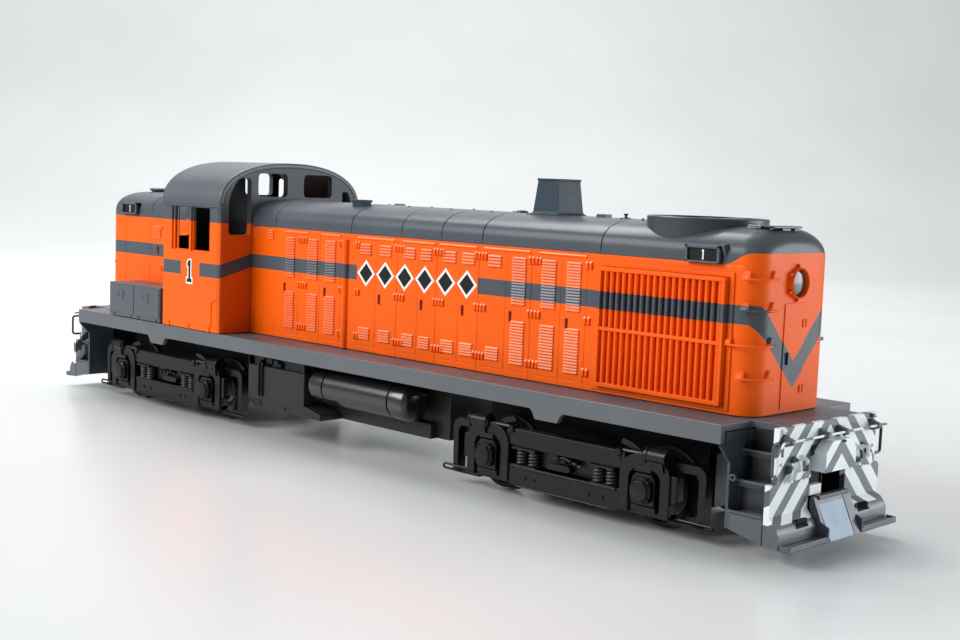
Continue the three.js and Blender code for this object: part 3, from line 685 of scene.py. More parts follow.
FAN_X = (RING_LOW.x + RING_HIGH.x) / 2
FAN_WELL = Shape().rod("z", RING_HIGH.y - 2.0, 66, TOP + 6, FAN_X, 0, 64)
hood("long_hood", HOOD_LOW.x, END_X, ROOF_SEAMS, DOOR_SEAMS, DOOR_ENDS,
     FAN_WELL, light_well(END_X - 2.2, END_X + 3))

NOSE_SEAMS, NOSE_DOORS = (-128.0,), (-147.5, -129.0, -118.0, -108.0)
NOSE_DOOR_ENDS = ((-147, -130), (-128, -109))
hood("short_hood", NOSE_HIGH.x, REAR_X, NOSE_SEAMS, NOSE_DOORS, NOSE_DOOR_ENDS,
     light_well(REAR_X - 3, REAR_X + 2.2))


def louvres(shape, x0, x1, z0, z1):
    """A column of pressed slats: each leans out to a lip and drops back under it."""
    count = round((z1 - z0) / LOUVRE_PITCH)
    step = (z1 - z0) / count
    for i in range(count):
        z = z0 + i * step
        lip = [(-HALF, z + step * 0.86), (-HALF - 0.5, z + step * 0.46), (-HALF - 0.56, z + step * 0.16),
               (-HALF, z + step * 0.06)]
        shape.prism("x", lip, x0, x1)


LOUVRE_GROUPS = (
    (((-38.4, -33.4), (-25.7, -20.4), (-15.8, -10.5)), ((57.3, 71.8), (39.0, 52.4))),
    (((2.8, 8.2), (13, 18.5), (24.8, 30), (33, 37.8), (43.5, 49), (52, 57.4), (63.4, 68.8)),
     ((67.9, 71.8), (39.2, 43.4))),
    (((73.7, 79.2), (85.7, 91.2), (95.6, 100.9)), ((57.2, 71.8), (39.0, 52.4))),
    (((-49.8, -46.0),), ((70.2, 73.8),)),
    (((-126.0, -121.0), (-115.5, -110.5)), ((66.5, 71.5),)),
)


def side_louvres():
    """Each group of columns, on the doors and the hoods, has the same rows from a low to a high edge."""
    shape = Shape()
    for columns, rows in LOUVRE_GROUPS:
        for x0, x1 in columns:
            for z0, z1 in rows:
                louvres(shape, x0, x1, z0, z1)
    return shape.both_sides()


piece("hood_louvres", side_louvres(), "body_orange", HIGHLIGHT_PAINT, angle=25)


def hinge(shape, x, z, fingers=4):
    """Upright fingers side by side over the joint of two doors, sloped at the top."""
    profile = [(-HALF, z + 1.2), (-HALF - 0.62, z + 0.7), (-HALF - 0.55, z - 1.0), (-HALF, z - 1.5)]
    for i in range(fingers):
        a = x + 1.4 * (i - fingers / 2) + 0.25
        shape.prism("x", profile, a, a + 0.9)


def door_fittings():
    """Three rows of hinges, and a lip over each group of doors."""
    shape = Shape()
    for z in (40.1, 55.1, 71.1):
        for x in (-28.8, 22.7, 41.5, 60.2, 82.9, -118.0):
            hinge(shape, x, z)
        for x in (-7.3, 1.4, 103.8):
            hinge(shape, x, z, 2)
    lip = [(-HALF, 73.9), (-HALF - 0.3, 73.55), (-HALF - 0.25, 73.1), (-HALF, 73.0)]
    for low, high in DOOR_ENDS:
        shape.prism("x", lip, low + 0.4, high - 0.4)
    return shape.both_sides()


piece("door_hinges", door_fittings(), "body_orange", HIGHLIGHT_PAINT, edge=0.08)


def door_handles():
    """Upright slot handles, coloured dark red-brown as painted shade of a recess."""
    shape = Shape()
    for x, z in [(x, 51.7) for x in (-38.9, -16.1, 12.8, 33.5, 52.5, 73.2, 95.9)] + [(-123.0, 60.0)]:
        slot = [(-HALF + 0.1, z), (-HALF - 0.35, z + 0.15), (-HALF - 0.45, z + 3.2), (-HALF + 0.1, z + 3.5)]
        shape.prism("x", slot, x - 0.38, x + 0.38)
    return shape.both_sides()


piece("door_handles", door_handles(), "body_orange", SLOT_SHADE_PAINT, edge=0.08)


def side_post():
    """The rounded upright between two door groups, closed at the top."""
    shape = Shape()
    round_face = [(-4.85 + p, -HALF + q) for p, q in circle(1.25, 16, pi, pi)]
    outline = [(-6.1, -HALF + 0.3)] + round_face + [(-3.6, -HALF), (-3.6, -HALF + 0.3)]
    shape.prism("z", outline, BASE, 72.4)
    shape.block(-6.5, -3.2, -HALF - 0.3, -HALF + 0.2, 72.0, 72.9)
    return shape.both_sides()


piece("side_posts", side_post(), *HOOD_FINISH, edge=0.1)


def radiator_shutters(side):
    """A flange on the hood's side, a deep frame on it, and upright blades behind a middle rail."""
    x0, x1, z0, z1 = GRILLE_LOW.x, GRILLE_HIGH.x, GRILLE_LOW.z, GRILLE_HIGH.z
    face = GRILLE_HIGH.y
    shape = Shape(side=side)

    def frame_of(a, b, c, d, width, depth):
        shape.block(a, b, HALF, depth, c, c + width)
        shape.block(a, b, HALF, depth, d - width, d)
        shape.block(a, a + width, HALF, depth, c + width, d - width)
        shape.block(b - width, b, HALF, depth, c + width, d - width)

    frame_of(x0 - 1.4, x1 + 0.6, z0 - 0.3, z1 + 0.2, 1.3, HALF + 0.45)
    frame_of(x0 + 0.6, x1 - 1.2, z0 + 0.9, z1 - 1.2, 1.15, face)
    shape.block(x0 + 1.6, x1 - 2.2, HALF + 1.1, face - 0.1, 53.2, 54.2)
    blades = 19
    pitch = (x1 - x0 - 4.0) / blades
    for i in range(blades):
        x = x0 + 2.0 + pitch * (i + 0.5)
        blade = [(x - 0.62, HALF + 0.1), (x + 0.42, HALF + 0.1), (x + 0.62, face - 0.75),
                 (x + 0.3, face - 0.4), (x - 0.34, face - 0.4), (x - 0.62, face - 0.75)]
        shape.prism("z", blade, z0 + 1.6, z1 - 1.9)
    return shape


for word, side in SIDES:
    piece("radiator_shutters_" + word, radiator_shutters(side), *HOOD_FINISH,
          ("radiator_grille_" + word,), edge=0.12)


def corner_grabs():
    """Four bars round the near corner of the long hood's end, and the small gussets that hold them."""
    shape = Shape()
    bend = 5.4
    out_x, out_y = END_X + 1.3, -HALF - 1.3
    for z, reach in ((71.2, 156.8), (63.0, 156.8), (53.7, 152.4), (45.0, 156.4)):
        path = [(END_X - 0.2, -10.6, z), (out_x, -10.6, z), (out_x, -13.6, z)]
        path += [(out_x - bend + p, out_y + bend + q, z) for p, q in circle(bend, 10, 0.0, -pi / 2)]
        path += [(out_x - bend, out_y, z), (reach, out_y, z), (reach, -HALF + 0.2, z)]
        shape.wire(path, 0.32, 10)
        end_gusset = [(-12.6, z), (-10.2, z), (-10.2, z + 0.5), (-11.2, z + 1.0), (-11.9, z + 2.3)]
        shape.prism("x", end_gusset, END_X - 0.1, END_X + 0.9)
        side_gusset = [(-HALF, z + 0.2), (-HALF - 1.3, z + 0.2), (-HALF - 1.1, z + 1.1), (-HALF, z + 2.2)]
        shape.prism("x", side_gusset, reach - 0.4, reach + 1.4)
    return shape


piece("corner_grabs", corner_grabs(), *HOOD_FINISH, edge=0.06)


def end_doors():
    """The door in each hood's end with its hinges and handle, and two short stubs beside it."""
    shape, handles = Shape(), Shape()
    for face, way in ((END_X, 1), (REAR_X, -1)):
        shape.block(face - 0.4, face + way * 0.28, -5.2 * way, 4.9 * way, 36.3, 64.6)
        for z in (41.2, 59.0):
            shape.block(face, face + way * 0.6, 3.6 * way, 4.5 * way, z - 1.1, z + 1.1)
            shape.block(face, face + way * 0.6, 5.1 * way, 6.0 * way, z - 1.1, z + 1.1)
        handles.block(face, face + way * 0.9, -3.7 * way, -2.9 * way, 48.1, 51.5)
    piece("end_doors", shape, *HOOD_FINISH, edge=0.1)
    handles.block(END_X - 3.4, END_X - 2.2, HALF - 1.2, HALF + 1.0, 53.2, 54.2)
    handles.block(REAR_X - 0.8, REAR_X + 0.2, -15.5, -14.3, 54.2, 55.2)
    piece("end_door_handles", handles, *BLACK_WIRE, edge=0.15)


end_doors()


def end_light(word, face, way):
    """A ring that stands off the end, and a domed lens deep in it."""
    ring = ((4.3, -0.2), (4.3, 0.7), (4.15, 1.3), (3.95, 1.5), (3.8, 1.3), (3.75, -1.9), (4.4, -1.9))
    shape = Shape().turned("x", [(r, face + way * out) for r, out in ring], 0, HEADLIGHT_Z, 48, True)
    for v, w in circle(4.7, 6, pi / 6):
        shape.rod("x", 0.42, face, face + way * 0.9, v, HEADLIGHT_Z + w, 10)
    piece("light_ring_" + word, shape, *HOOD_FINISH, ("headlight_bezel_" + word,), angle=30)
    dome = [(3.8, face - way * 2.0), (3.8, face + way * 0.1)]
    dome += [(LENS_RADIUS * cos(a), face + way * (0.1 + 0.7 * sin(a))) for a in (0.3, 0.6, 0.9, 1.2, 1.45)]
    lens = Shape().turned("x", dome, 0, HEADLIGHT_Z, 48)
    piece("light_lens_" + word, lens, "lens", LENS, ("headlight_lens_" + word,), angle=60)


end_light("front", END_X, 1)
end_light("rear", REAR_X, -1)


# ---------- numbers and marks ----------
def figure_one(height, foot=1.55):
    """The outline of a plain digit 1 that stands on its foot, centred on its stem."""
    unit = height / 8.0
    points = [(-foot, 0), (foot, 0), (foot, 1.3), (0.72, 1.3), (0.72, 8), (-0.35, 8), (-1.15, 7.1),
              (-1.15, 5.9), (-0.5, 5.9), (-0.5, 1.3), (-foot, 1.3)]
    return [(a * unit, b * unit) for a, b in points]


def grown(outline, rim):
    """An outline pushed out by a rim, corner by corner."""
    points = [Vector(p) for p in outline]
    area = sum(a.x * b.y - b.x * a.y for a, b in zip(points, points[1:] + points[:1]))
    turn = 1 if area > 0 else -1
    out = []
    for before, point, after in zip(points[-1:] + points[:-1], points, points[1:] + points[:1]):
        first, second = (point - before).normalized(), (after - point).normalized()
        normals = [Vector((d.y, -d.x)) * turn for d in (first, second)]
        middle = (normals[0] + normals[1]).normalized()
        out.append(tuple(point + middle * rim / max(0.4, middle.dot(normals[0]))))
    return out


def cab_numbers():
    """A plain digit 1 with a white rim on each side of the cab."""
    white, black = Shape(), Shape()
    stem, foot = -78.9, 52.5
    digit = figure_one(8.2)
    for side in (-1, 1):
        for shape, outline, rise in ((white, grown(digit, 0.62), 0.05), (black, digit, 0.09)):
            placed = [(stem - side * a, foot + b) for a, b in outline]
            shape.prism("y", placed, side * (CAB_HALF - 0.1), side * (CAB_HALF + rise))
    piece("cab_number_rims", white, "body_orange", MARK_WHITE)
    piece("cab_numbers", black, "body_orange", MARK_BLACK)


cab_numbers()


def side_marks():
    """A row of plain diamonds, black with a white rim, where the stripe breaks on the hood's side."""
    white, black = Shape(), Shape()
    count, middle = 6, (STRIPE_LOW + STRIPE_HIGH) / 2
    pitch = (MARK_X1 - MARK_X0) / count
    for i in range(count):
        x = MARK_X0 + pitch * (i + 0.5)
        for shape, reach, rise in ((white, 4.5, 0.05), (black, 3.3, 0.09)):
            diamond = [(x - reach, middle), (x, middle - reach), (x + reach, middle), (x, middle + reach)]
            shape.prism("y", diamond, -HALF + 0.15, -HALF - rise)
    piece("side_mark_rims", white.both_sides(), "body_orange", MARK_WHITE)
    piece("side_marks", black.both_sides(), "body_orange", MARK_BLACK)


side_marks()


def number_board(end, word, side):
    """A hooded box on a roof corner, with a dark panel set in it and a class light beside it."""
    tag = f"{end}_{word}"
    low, high = span("number_board_" + tag)
    x0, x1, z0, z1 = low.x, high.x, low.z - 0.3, high.z + 0.5
    rim = 0.85
    box = Shape(side=side)
    for a, b, c, d in ((x0, x1, z1 - rim, z1), (x0, x1, z0, z0 + rim * 0.6), (x0, x0 + rim, z0, z1),
                       (x1 - rim, x1, z0, z1)):
        box.block(a, b, 17.0, 19.9, c, d)
    box.block(x0, x1, 14.0, 19.0, z0, z1 + 0.01)
    lamp_x = x1 + 0.9 if end == "front" else x0 - 0.9
    lamp = [(15.2, 80.3), (19.6, 79.7), (19.6, 78.9), (18.3, 76.2), (16, 76.2)]
    box.prism("x", lamp, lamp_x - 0.4, lamp_x + 0.4)
    panel = Shape(side=side).block(x0 + rim, x1 - rim, 18.8, 19.25, z0 + 0.5, z1 - rim)
    middle = (x0 + x1) / 2
    placed = [(middle - side * a, z0 + 0.85 + b) for a, b in figure_one(2.7, 0.8)]
    digit = Shape(side=side).prism("y", placed, 19.2, 19.32)
    piece("board_box_" + tag, box, *GREY_TRIM, ("number_board_" + tag,), edge=0.14)
    piece("board_panel_" + tag, panel, "trim_grey", MARK_BLACK)
    piece("board_digit_" + tag, digit, "trim_grey", MARK_WHITE)


for end, _ in ENDS:
    for word, side in SIDES:
        number_board(end, word, side)


# ---------- roof fittings ----------
def roof_height(y):
    """Height of the hood's roof that far from its middle."""
    share = min(1.0, abs(y) / HALF) ** ROOF_POWER
    return SHOULDER + (TOP - SHOULDER) * (1 - share) ** (1 / ROOF_POWER)


def fan():
    """The shroud's ring, a wire guard in it, and six pitched blades below."""
    ring_top, ring_r, bore = RING_HIGH.z, RING_HIGH.y, RING_HIGH.y - 1.6
    profile = [(ring_r, SHOULDER), (ring_r, ring_top - 0.25), (ring_r - 0.25, ring_top), (bore, ring_top),
               (bore - 0.1, ring_top - 0.3), (bore - 0.1, 68)]
    shape = Shape().turned("z", profile, FAN_X, 0, 96, True)
    piece("fan_ring", shape, "trim_grey", RING_PAINT, ("radiator_fan_shroud",), edge=0.08)
    guard = Shape()
    guard_z = ring_top - 0.55
    for radius in (2.6, 5.2, 7.8, 10.4, 13.0):
        loop = [(FAN_X + p, q, guard_z) for p, q in circle(radius, 48)]
        guard.wire(loop, 0.22, 6, True)
    for angle in range(0, 180, 30):
        p, q = bore * cos(radians(angle)), bore * sin(radians(angle))
        guard.wire([(FAN_X - p, -q, guard_z - 0.3), (FAN_X + p, q, guard_z - 0.3)], 0.24, 6)
    guard.rod("z", 2.0, guard_z - 0.6, guard_z + 0.35, FAN_X, 0, 24)
    piece("fan_guard", guard, *GREY_TRIM)
    blades = Shape().rod("z", 2.8, 76, 81.5, FAN_X, 0, 32)
    hub, pitch = Matrix.Translation((FAN_X, 0, 79)), Matrix.Rotation(0.5, 4, "X")
    for i in range(6):
        blade = Shape().prism("z", [(2.2, -1.6), (13.4, -3.0), (13.9, 1.8), (2.2, 1.4)], -0.35, 0.35)
        blades.plus(blade.moved(hub @ Matrix.Rotation(pi / 3 * i, 4, "Z") @ pitch))
    piece("fan_blades", blades, *UNDERFRAME, edge=0.1)


fan()


def stack():
    """A tapered box on a flared skirt, with a flanged rim round its outlet."""
    low, high = STACK_LOW, STACK_HIGH
    middle = (low.x + high.x) / 2
    half_x, half_y = (high.x - low.x) / 2, high.y

    def ring(grow_x, grow_y, z):
        x, y = half_x + grow_x, half_y + grow_y
        return [(middle - x, -y, z), (middle + x, -y, z), (middle + x, y, z), (middle - x, y, z)]

    levels = ((0.8, 0.8, TOP - 1.6), (0.8, 0.8, TOP + 0.1), (0.2, 0.2, TOP + 0.4), (0.0, 0.0, TOP + 1.2),
              (-0.9, -0.75, high.z - 0.7), (-0.7, -0.55, high.z - 0.6), (-0.7, -0.55, high.z))
    thing = solid("exhaust_stack_shell", Shape().rings([ring(*level) for level in levels]), 30)
    carve(thing, Shape().block(middle - 2.3, middle + 2.3, -4.6, 4.6, high.z - 5, high.z + 1))
    settle(thing, "trim_grey", STACK_PAINT, ("exhaust_stack",), 0.22, 3)


stack()


def roof_fittings():
    """The vent, hatch blocks, whistles, lifting studs and beacon stand along the roofs."""
    grey, black, blue = Shape(), Shape(), Shape()
    black.turned("z", [(2.1, 83.8), (2.1, 84.7), (1.8, 85.1), (1.0, 85.3), (0.3, 85.35)], 59.5, 0, 32)
    grey.block(91.5, 95.0, -1.6, 1.6, 84.0, 85.5)
    whistle = [(1.6, 84.0), (1.6, 84.7), (1.0, 84.9), (0.4, 85.0), (0.4, 85.5), (0.7, 85.6), (0.7, 86.0)]
    black.turned("z", whistle, 101.6, 0, 24)
    blue.block(-11.6, -5.9, -10.6, -6.8, 81.8, 85.7)
    blue.block(-12.0, -5.5, -10.9, -6.5, 85.3, 86.1)
    grey.block(-9.2, -6.0, 6.8, 9.4, 81.8, 85.0)
    vent_x = -151.0
    grey.turned("z", [(3.4, 83.6), (3.4, 84.9), (4.2, 85.1), (4.2, 85.4)], vent_x, 0, 40)
    vent = Shape().turned("z", [(4.4, 85.35), (4.4, 85.9), (3.8, 86.2), (0.4, 86.3)], vent_x, 0, 40)
    piece("rear_roof_vent", vent, "trim_grey", VENT_BLUE, edge=0.1)
    stud_y = 5.2
    stud_z = roof_height(stud_y)
    for x in (-53, -38, -10, 12, 32.5, 51, 66.5, 104, 112):
        for y in (-stud_y, stud_y):
            grey.turned("z", [(0.45, 84.0), (0.45, stud_z + 0.2), (0.25, stud_z + 0.35)], x, y, 10)
    piece("roof_fittings", grey, *GREY_TRIM, edge=0.12)
    piece("roof_block", blue, "trim_grey", STACK_PAINT, edge=0.12)
    piece("roof_whistle", black, *BLACK_WIRE, edge=0.08)
    stand, plate = Shape(), Shape()
    for x, y in ((155.2, -6.6), (156.6, 3.4)):
        stand.block(x - 1.1, x + 1.1, y - 1.0, y + 1.0, 81.5, 84.6)
    stand.block(150.2, 153.6, -9.6, -6.2, 81.6, 84.4)
    plate.block(153.6, 158.2, -8.6, 5.4, 84.4, 85.0)
    plate.rod("x", 0.9, 150.0, 154.5, -8.2, 84.2, 16)
    plate.block(155.6, 157.6, -3.4, 0.6, 82.6, 84.5)
    piece("beacon_stand", stand, *GREY_TRIM, edge=0.2)
    piece("beacon_plate", plate, *BLACK_WIRE, edge=0.12)


roof_fittings()


# ---------- cab ----------
def cab_roof():
    """The arched roof, a near-black sheet under it as painted shade, and a gutter along each side."""
    x0, x1, half, eave, top = ROOF_LOW.x, ROOF_HIGH.x, ROOF_HIGH.y, ROOF_LOW.z, ROOF_HIGH.z
    skin_thick, shade_thick, gap, steps = 2.1, 0.28, 0.02, 72

    def curve(inset, base):
        out = []
        for i in range(steps + 1):
            angle = pi * i / steps
            across = copysign(abs(cos(angle)) ** (2 / CAB_ROOF_POWER), cos(angle))
            rise = (top - inset - base) * sin(angle) ** (2 / CAB_ROOF_POWER)
            out.append(((half - inset) * across, base + rise))
        return out

    outline = curve(0, eave) + curve(skin_thick, eave)[::-1]
    shell = Shape().prism("x", outline, x0 + 0.55, x1 - 0.55)
    piece("cab_roof_shell", shell, *GREY_TRIM, ("cab_roof",), edge=0.7, steps=4)
    outer = skin_thick + gap
    shade_sheet = curve(outer, eave + 0.1) + curve(outer + shade_thick, eave + 0.1)[::-1]
    # Painted shade: a near-black sheet under the roof.
    piece("cab_roof_shade", Shape().prism("x", shade_sheet, x0 + 2.4, x1 - 2.4), *SHADE)
    gutter = Shape().block(x0 + 0.2, x1 - 0.2, -half, -half + 0.9, eave - 0.55, eave + 0.15)
    gutter.block(x0 + 0.5, x1 - 0.5, -half + 0.6, -half + 1.6, eave - 1.0, eave)
    piece("cab_gutters", gutter.both_sides(), *GREY_TRIM, edge=0.15)


def cab():
    """The walls, the sliding-window frames, the small fittings on the sides, and seats inside; floor and
    seats are painted near black as shade.
    """
    skin("cab_body", "body_orange", CAB_PAINT, 0.28)
    skin("cab_floor", *SHADE, 0.2)
    frames = Shape()
    low, high = 64.0, 81.2
    y0, y1 = -CAB_HALF + 0.7, -CAB_HALF + 2.0
    for a, b in ((-91.2, -90.0), (-80.1, -79.5), (-78.3, -77.7), (-66.7, -66.1)):
        frames.block(a, b, y0, y1, low, high)
    frames.block(-88.7, -87.9, y0 + 0.2, y0 + 0.7, low, high)
    for z0, z1 in ((low, low + 0.7), (high - 0.7, high)):
        frames.block(-91.2, -79.5, y0, y1, z0, z1)
        frames.block(-78.3, -66.1, y0, y1, z0, z1)
    piece("cab_window_frames", frames.both_sides(), "body_orange", SASH_PAINT, edge=0.15)
    trim = Shape()
    for x in (-92.2, -79.0, -65.6):
        trim.block(x - 0.5, x + 0.5, -CAB_HALF - 0.35, -CAB_HALF + 0.2, BASE, BASE + 2.0)
    face = -CAB_HALF - 0.1
    wire = [(-64.3, face + 0.2, 37.2), (-64.3, face, 37.2), (-64.3, face, 46.0), (-62.8, face, 46.6)]
    trim.wire(filleted(wire, 0.4, 3), 0.3, 8)
    trim.block(-63.1, -62.1, -CAB_HALF - 0.25, -CAB_HALF + 0.25, 46.3, 47.3)
    piece("cab_side_fittings", trim.both_sides(), "body_orange", SASH_PAINT, edge=0.08)
    seats = Shape()
    for side in (-1, 1):
        seats.block(-83, -74, side * 14, side * 23, 43.6, 52)
        seats.block(-84, -81.5, side * 14, side * 23, 52, 63)
    seats.block(-71, -62.5, -10, 8, 43.6, 66)
    piece("cab_furniture", seats, *SHADE, edge=0.8, steps=3)


cab_roof()
cab()


# ---------- frame, battery boxes ----------
skin("frame", "frame_grey", DECK_PAINT, 0.22)


def battery_box(word, side):
    """A box with two doors, each with a barred latch and two hinges."""
    node = "battery_box_" + word
    low, high = span(node)
    skin(node, *GREY_TRIM, 0.25)
    doors = Shape(side=side)
    middle = (low.x + high.x) / 2
    face = HALF_DECK
    for a, b in ((low.x + 0.5, middle - 0.25), (middle + 0.25, high.x - 0.5)):
        doors.block(a, b, face - 0.4, face + 0.25, low.z + 1.5, high.z - 0.8)
        latch = (a + b) / 2 - 0.4
        doors.block(latch - 2.4, latch + 1.5, face, face + 0.4, 42.4, 42.8)
        doors.block(latch - 2.4, latch + 1.5, face, face + 0.4, 45.2, 45.6)
        doors.block(latch - 2.4, latch - 2.0, face, face + 0.4, 42.8, 45.2)
        doors.block(latch + 1.0, latch + 1.8, face, face + 0.5, 42.0, 45.6)
        for x in (a + 2.5, b - 2.5):
            doors.block(x - 0.8, x + 0.8, face, face + 0.38, low.z + 0.3, low.z + 1.0)
    piece("battery_doors_" + word, doors, *GREY_TRIM, edge=0.12)


for word, side in SIDES:
    battery_box(word, side)


# ---------- underframe ----------
def tank():
    """Side boxes with a recessed band at the top, a pan below them, and the centre girder."""
    skin("fuel_tank", "underframe_black", TANK_PAINT, 0.4)
    pipes, boxes = Shape(), Shape()
    face = -28.0
    for x in (-39.5, -37.8):
        path = [(x, face - 0.1, 14.6), (x, face - 0.4, 15.2), (x, face - 0.4, 26.4), (x, face + 2.4, 27.8)]
        pipes.wire(filleted(path, 1.0), 0.45, 10)
    boxes.block(-46.5, -46.0, face, face + 2.2, 25.2, 29.2)
    boxes.block(-14.6, -14.0, face, face + 2.2, 25.2, 29.2)
    boxes.block(-44.5, -38.8, face + 1.2, face + 2.2, 25.3, 29.2)
    boxes.block(-25.6, -15.2, face + 1.2, face + 2.2, 25.3, 29.2)
    for x, z, r in ((-34.6, 27.6, 1.3), (-31.4, 27.2, 1.5), (-29.0, 26.6, 0.9)):
        boxes.turned("y", [(r, face + 2.1), (r, face + 0.9), (r * 0.6, face + 0.6)], x, z, 20)
    boxes.block(-36.6, -35.6, face + 0.6, face + 2.2, 25.8, 29.2)
    pod = [(-45.6, 13.4), (-45.2, 12.0), (-43.0, 10.7), (-38.4, 10.7), (-38.4, 13.2)]
    boxes.prism("y", pod, face - 0.25, face + 0.5)
    boxes.rod("y", 0.5, face - 0.4, face + 0.2, -24.5, 12.0, 12)
    piece("tank_pipes", pipes.both_sides(), *UNDERFRAME)
    piece("tank_fittings", boxes.both_sides(), *UNDERFRAME, edge=0.15)


tank()


def air_reservoir(word, side):
    """A domed drum with a strap groove near each end, hung from the frame."""
    x0, x1 = AIR_LOW.x, AIR_HIGH.x
    radius = (AIR_HIGH.y - AIR_LOW.y) / 2
    y, z = (AIR_HIGH.y + AIR_LOW.y) / 2, (AIR_HIGH.z + AIR_LOW.z) / 2
    cap = ((0.02, 0.0), (0.5, 0.22), (0.78, 0.62), (0.9, 1.15), (0.97, 2.0), (1.0, 3.0))
    profile = [(radius * share, x0 + depth) for share, depth in cap]
    for groove in (x0 + 8.7, x1 - 9.0):
        profile += [(radius, groove), (radius - 0.45, groove + 0.15), (radius - 0.45, groove + 0.65),
                    (radius, groove + 0.8)]
    profile += [(radius * share, x1 - depth) for share, depth in reversed(cap)]
    drum = Shape(side=side).turned("x", profile, y, z, 56)
    piece("air_drum_" + word, drum, "underframe_black", GLOSS_BLACK, ("air_reservoir_" + word,), angle=30)
    brackets = Shape(side=side)
    for x in (x0 + 12, x1 - 12):
        brackets.block(x - 0.7, x + 0.7, y - 0.8, y + 0.8, z + radius - 0.4, 31)
    brackets.rod("x", 0.45, x1 - 0.3, x1 + 3.6, y, z + 3.2, 12)
    brackets.turned("x", [(1.0, x1 - 0.6), (1.0, x1 + 0.4)], y, z, 16)
    piece("air_drum_brackets_" + word, brackets, *UNDERFRAME, edge=0.1)


for word, side in SIDES:
    air_reservoir(word, side)


# ---------- pilots and steps ----------
def hose(shape, y, z, lean):
    """A short hose and its clamp, hanging beside the coupler opening."""
    path = [(-0.2, y, z), (1.9, y, z), (2.2, y + lean, z - 2.6), (1.4, y + 2.2 * lean, z - 5.0)]
    shape.wire(filleted(path, 1.4), 0.5, 10)
    shape.turned("x", [(0.9, 0), (0.9, 0.6), (0.6, 1.0)], y, z, 14)


